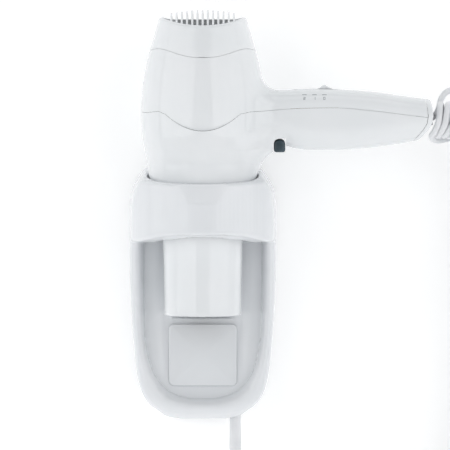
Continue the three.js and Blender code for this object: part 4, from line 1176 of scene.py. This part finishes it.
# %% Cord sleeve
sleeve_low, sleeve_high = corners("holder_cord_sleeve")
base = cover_low[2]
bore_r = CORD_D / 2 + 0.3
sleeve_profile = [(bore_r, sleeve_high[2]), (5.6, sleeve_high[2]), (5.6, base + 5.2),
                  (4.2, base + 5), (4.2, base), (4.3, base - 8), (4.62, base - 22),
                  (4.55, base - 26), (4.1, base - 33), (3.6, base - 43), (3.3, sleeve_low[2]),
                  (bore_r, sleeve_low[2])]
cord_sleeve = closed_band("cord_sleeve", [
    [(SLEEVE_X + r * math.cos(a), SLEEVE_Y + r * math.sin(a), z) for r, z in sleeve_profile]
    for a in np.linspace(0, 2 * math.pi, 40, endpoint=False)])
rib_sizes = {"Ribs": 5, "Spacing": 0.0026, "Radius": 0.0041, "Thickness": 0.0005,
             "Top": (base - 33) * MM}
tree, given, result = new_tree("sleeve_ribs", rib_sizes)
size = given.outputs
path = add(tree, "GeometryNodeCurvePrimitiveCircle", [(size["Radius"], "Radius")],
           in_Resolution=32)
profile = add(tree, "GeometryNodeCurvePrimitiveCircle", [(size["Thickness"], "Radius")],
              in_Resolution=8)
hoop = add(tree, "GeometryNodeCurveToMesh", [(path.outputs[0], "Curve"),
                                             (profile.outputs[0], "Profile Curve")])
start = add(tree, "ShaderNodeCombineXYZ", [(size["Top"], "Z")], in_X=SLEEVE_X * MM,
            in_Y=SLEEVE_Y * MM)
step = add(tree, "ShaderNodeCombineXYZ",
           [(operate(tree, MATH, "MULTIPLY", size["Spacing"], -1.0), "Z")])
row = add(tree, "GeometryNodeMeshLine", [(size["Ribs"], "Count"), (start.outputs[0],
                                                                  "Start Location"),
                                         (step.outputs[0], "Offset")])
ribs = add(tree, "GeometryNodeInstanceOnPoints", [(row.outputs[0], "Points"),
                                                  (hoop.outputs[0], "Instance")])
finish_tree(tree, ribs.outputs[0], "cord", result)
combine(cord_sleeve, face_out(grown("ribs", tree, rib_sizes)), "UNION")
finished(shade(cord_sleeve, 50), "holder", "cord", "holder_cord_sleeve")

# %% [markdown]
# The screws are the same self-tapping screw in two lengths: a pan head with a cross slot on a plain
# shank. The same tree is built for each one, and each body's screws are one mesh.

# %% Screws
def screws(name, body, places, *nodes):
    """Screws at (place, direction, head radius, shank radius, length) in millimetres."""
    whole = None
    for place, direction, head, shank, length in places:
        sizes = {"Head": head * MM, "Shank": shank * MM, "Length": length * MM}
        tree, given, result = new_tree("screw", sizes)
        size = given.outputs
        cap = add(tree, "GeometryNodeMeshCylinder", [(size["Head"], "Radius")], in_Vertices=28,
                  in_Depth=2 * MM)
        cap_at = add(tree, "GeometryNodeTransform", [(cap.outputs[0], "Geometry")],
                     in_Translation=(0, 0, MM))
        slot = add(tree, "ShaderNodeCombineXYZ", [(operate(tree, MATH, "MULTIPLY", size["Head"], 1.3),
                                                   "X")], in_Y=0.5 * MM, in_Z=1.6 * MM)
        bar = add(tree, "GeometryNodeMeshCube", [(slot.outputs[0], "Size")])
        one = add(tree, "GeometryNodeTransform", [(bar.outputs[0], "Geometry")],
                  in_Translation=(0, 0, 2 * MM))
        two = add(tree, "GeometryNodeTransform", [(one.outputs[0], "Geometry")],
                  in_Rotation=(0, 0, math.pi / 2))
        head_cut = add(tree, "GeometryNodeMeshBoolean", [(cap_at.outputs[0], "Mesh 1"),
                                                         (one.outputs[0], "Mesh 2"),
                                                         (two.outputs[0], "Mesh 2")],
                       operation="DIFFERENCE")
        rod = add(tree, "GeometryNodeMeshCylinder", [(size["Shank"], "Radius"),
                                                     (size["Length"], "Depth")], in_Vertices=16)
        sunk = add(tree, "ShaderNodeCombineXYZ",
                   [(operate(tree, MATH, "MULTIPLY", size["Length"], -0.5), "Z")])
        rod_at = add(tree, "GeometryNodeTransform", [(rod.outputs[0], "Geometry"),
                                                     (sunk.outputs[0], "Translation")])
        both = add(tree, "GeometryNodeMeshBoolean", [(head_cut.outputs[0], "Mesh 2"),
                                                     (rod_at.outputs[0], "Mesh 2")],
                   operation="UNION")
        finish_tree(tree, both.outputs[0], "steel", result)
        made = grown("one_screw", tree, sizes)
        turn = Vector((0, 0, 1)).rotation_difference(Vector(direction)).to_matrix().to_4x4()
        made.data.transform(turn)
        made.data.transform(Matrix.Translation(Vector(place) * MM))
        whole = made if whole is None else merge(whole, made)
    whole.name = name
    finished(shade(face_out(whole), 30), body, "steel", *nodes)


HEAD_HEIGHT = 2
HEAD_R, CLAMP_HEAD_R, SHANK_R = 3, 2.6, 1.4


def screw_place(node, axis):
    """The seat of a CAD screw's head and the length of its shank, from its box."""
    low, high = corners(node)
    middle = [(a + b) / 2 for a, b in zip(low, high)]
    middle[axis] = low[axis] + HEAD_HEIGHT
    return middle, (high[axis] - low[axis]) - HEAD_HEIGHT


places = []
for node in ("shell_screw_1", "shell_screw_2"):
    seat, length = screw_place(node, 2)
    places.append((seat, (0, 0, -1), HEAD_R, SHANK_R, length))
seat, length = screw_place("cord_clamp_screw", 2)
places.append((seat, (0, 0, -1), CLAMP_HEAD_R, SHANK_R, length))
screws("dryer_screws", "dryer", places, "shell_screw_1", "shell_screw_2", "cord_clamp_screw")
places = []
for node in ("cover_screw_upper", "cord_anchor_screw"):
    seat, length = screw_place(node, 1)
    places.append((seat, (0, -1, 0), HEAD_R, SHANK_R, length))
seat, length = screw_place("cover_screw_lower", 2)
places.append((seat, (0, 0, -1), HEAD_R, SHANK_R, length))
screws("holder_screws", "holder", places, "cover_screw_upper", "cord_anchor_screw",
       "cover_screw_lower")

# %% [markdown]
# The hidden pieces, such as the motor, fan and heater, keep their CAD shapes and get the finish of
# their slot. Each CAD material carries its slot's name.

# %% Finishes on the hidden pieces
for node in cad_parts.values():
    for held in node.material_slots:
        label = held.material.name.split(".")[0] if held.material else "inner"
        held.material = MATERIALS.get(label, MATERIALS["inner"])

# %% [markdown]
# The dryer hangs on a near-white wall over a pale floor. Two wide softboxes stand left and right of
# the camera: they draw the long bright strips on the round barrel, with a calm grey strip between.

# %% Wall, floor and lights
LIT_PLACE = Vector((0, -0.05, 0.05))
PAINT_GLOW = 0.2         # the painted wall is a little over-lit, as in a studio


def stage_panel(name, corners_m, tones):
    """A big painted sheet that isn't part of the object."""
    mesh = bpy.data.meshes.new(name)
    mesh.from_pydata(corners_m, [], [(0, 1, 2, 3)])
    sheet = bpy.data.objects.new(name, mesh)
    bpy.context.scene.collection.objects.link(sheet)
    finish_of(name, name + "_paint", tones, 300, (0.8, 0.9), 2, 0.02)
    paint = MATERIALS[name].node_tree.nodes["Principled BSDF"]
    paint.inputs["Emission Color"].default_value = (1, 1, 1, 1)
    paint.inputs["Emission Strength"].default_value = PAINT_GLOW
    mesh.materials.append(MATERIALS[name])


WALL_Y, FLOOR_Z = 0.002, -1.1
stage_panel("wall", [(-6, WALL_Y, FLOOR_Z), (6, WALL_Y, FLOOR_Z), (6, WALL_Y, 5), (-6, WALL_Y, 5)],
            ("FAFAFA", "FFFFFF"))
stage_panel("floor", [(-6, -12, FLOOR_Z), (6, -12, FLOOR_Z), (6, WALL_Y, FLOOR_Z),
                      (-6, WALL_Y, FLOOR_Z)], ("F2F2F2", "F8F8F8"))


def softbox(name, place, width, height, power):
    """A soft rectangular lamp turned towards the object; metres and watts."""
    lamp = bpy.data.lights.new(name, "AREA")
    lamp.shape, lamp.size, lamp.size_y, lamp.energy = "RECTANGLE", width, height, power
    box = bpy.data.objects.new(name, lamp)
    bpy.context.scene.collection.objects.link(box)
    box.location = place
    aim = LIT_PLACE - Vector(place)
    box.rotation_euler = aim.to_track_quat("-Z", "Y").to_euler()


softbox("left_softbox", (-1.55, -1.25, 0.5), 2.7, 1.8, 17.2)
softbox("right_softbox", (1.55, -1.25, 0.5), 2.7, 1.8, 16.7)
softbox("top_softbox", (0.0, -0.9, 2.1), 1.8, 1.0, 4)
world = bpy.data.worlds.new("studio")
bpy.context.scene.world = world
world.use_nodes = True
world.node_tree.nodes["Background"].inputs["Color"].default_value = linear("F4F6F8")
world.node_tree.nodes["Background"].inputs["Strength"].default_value = 0.34
bpy.context.scene.view_settings.view_transform = "Standard"
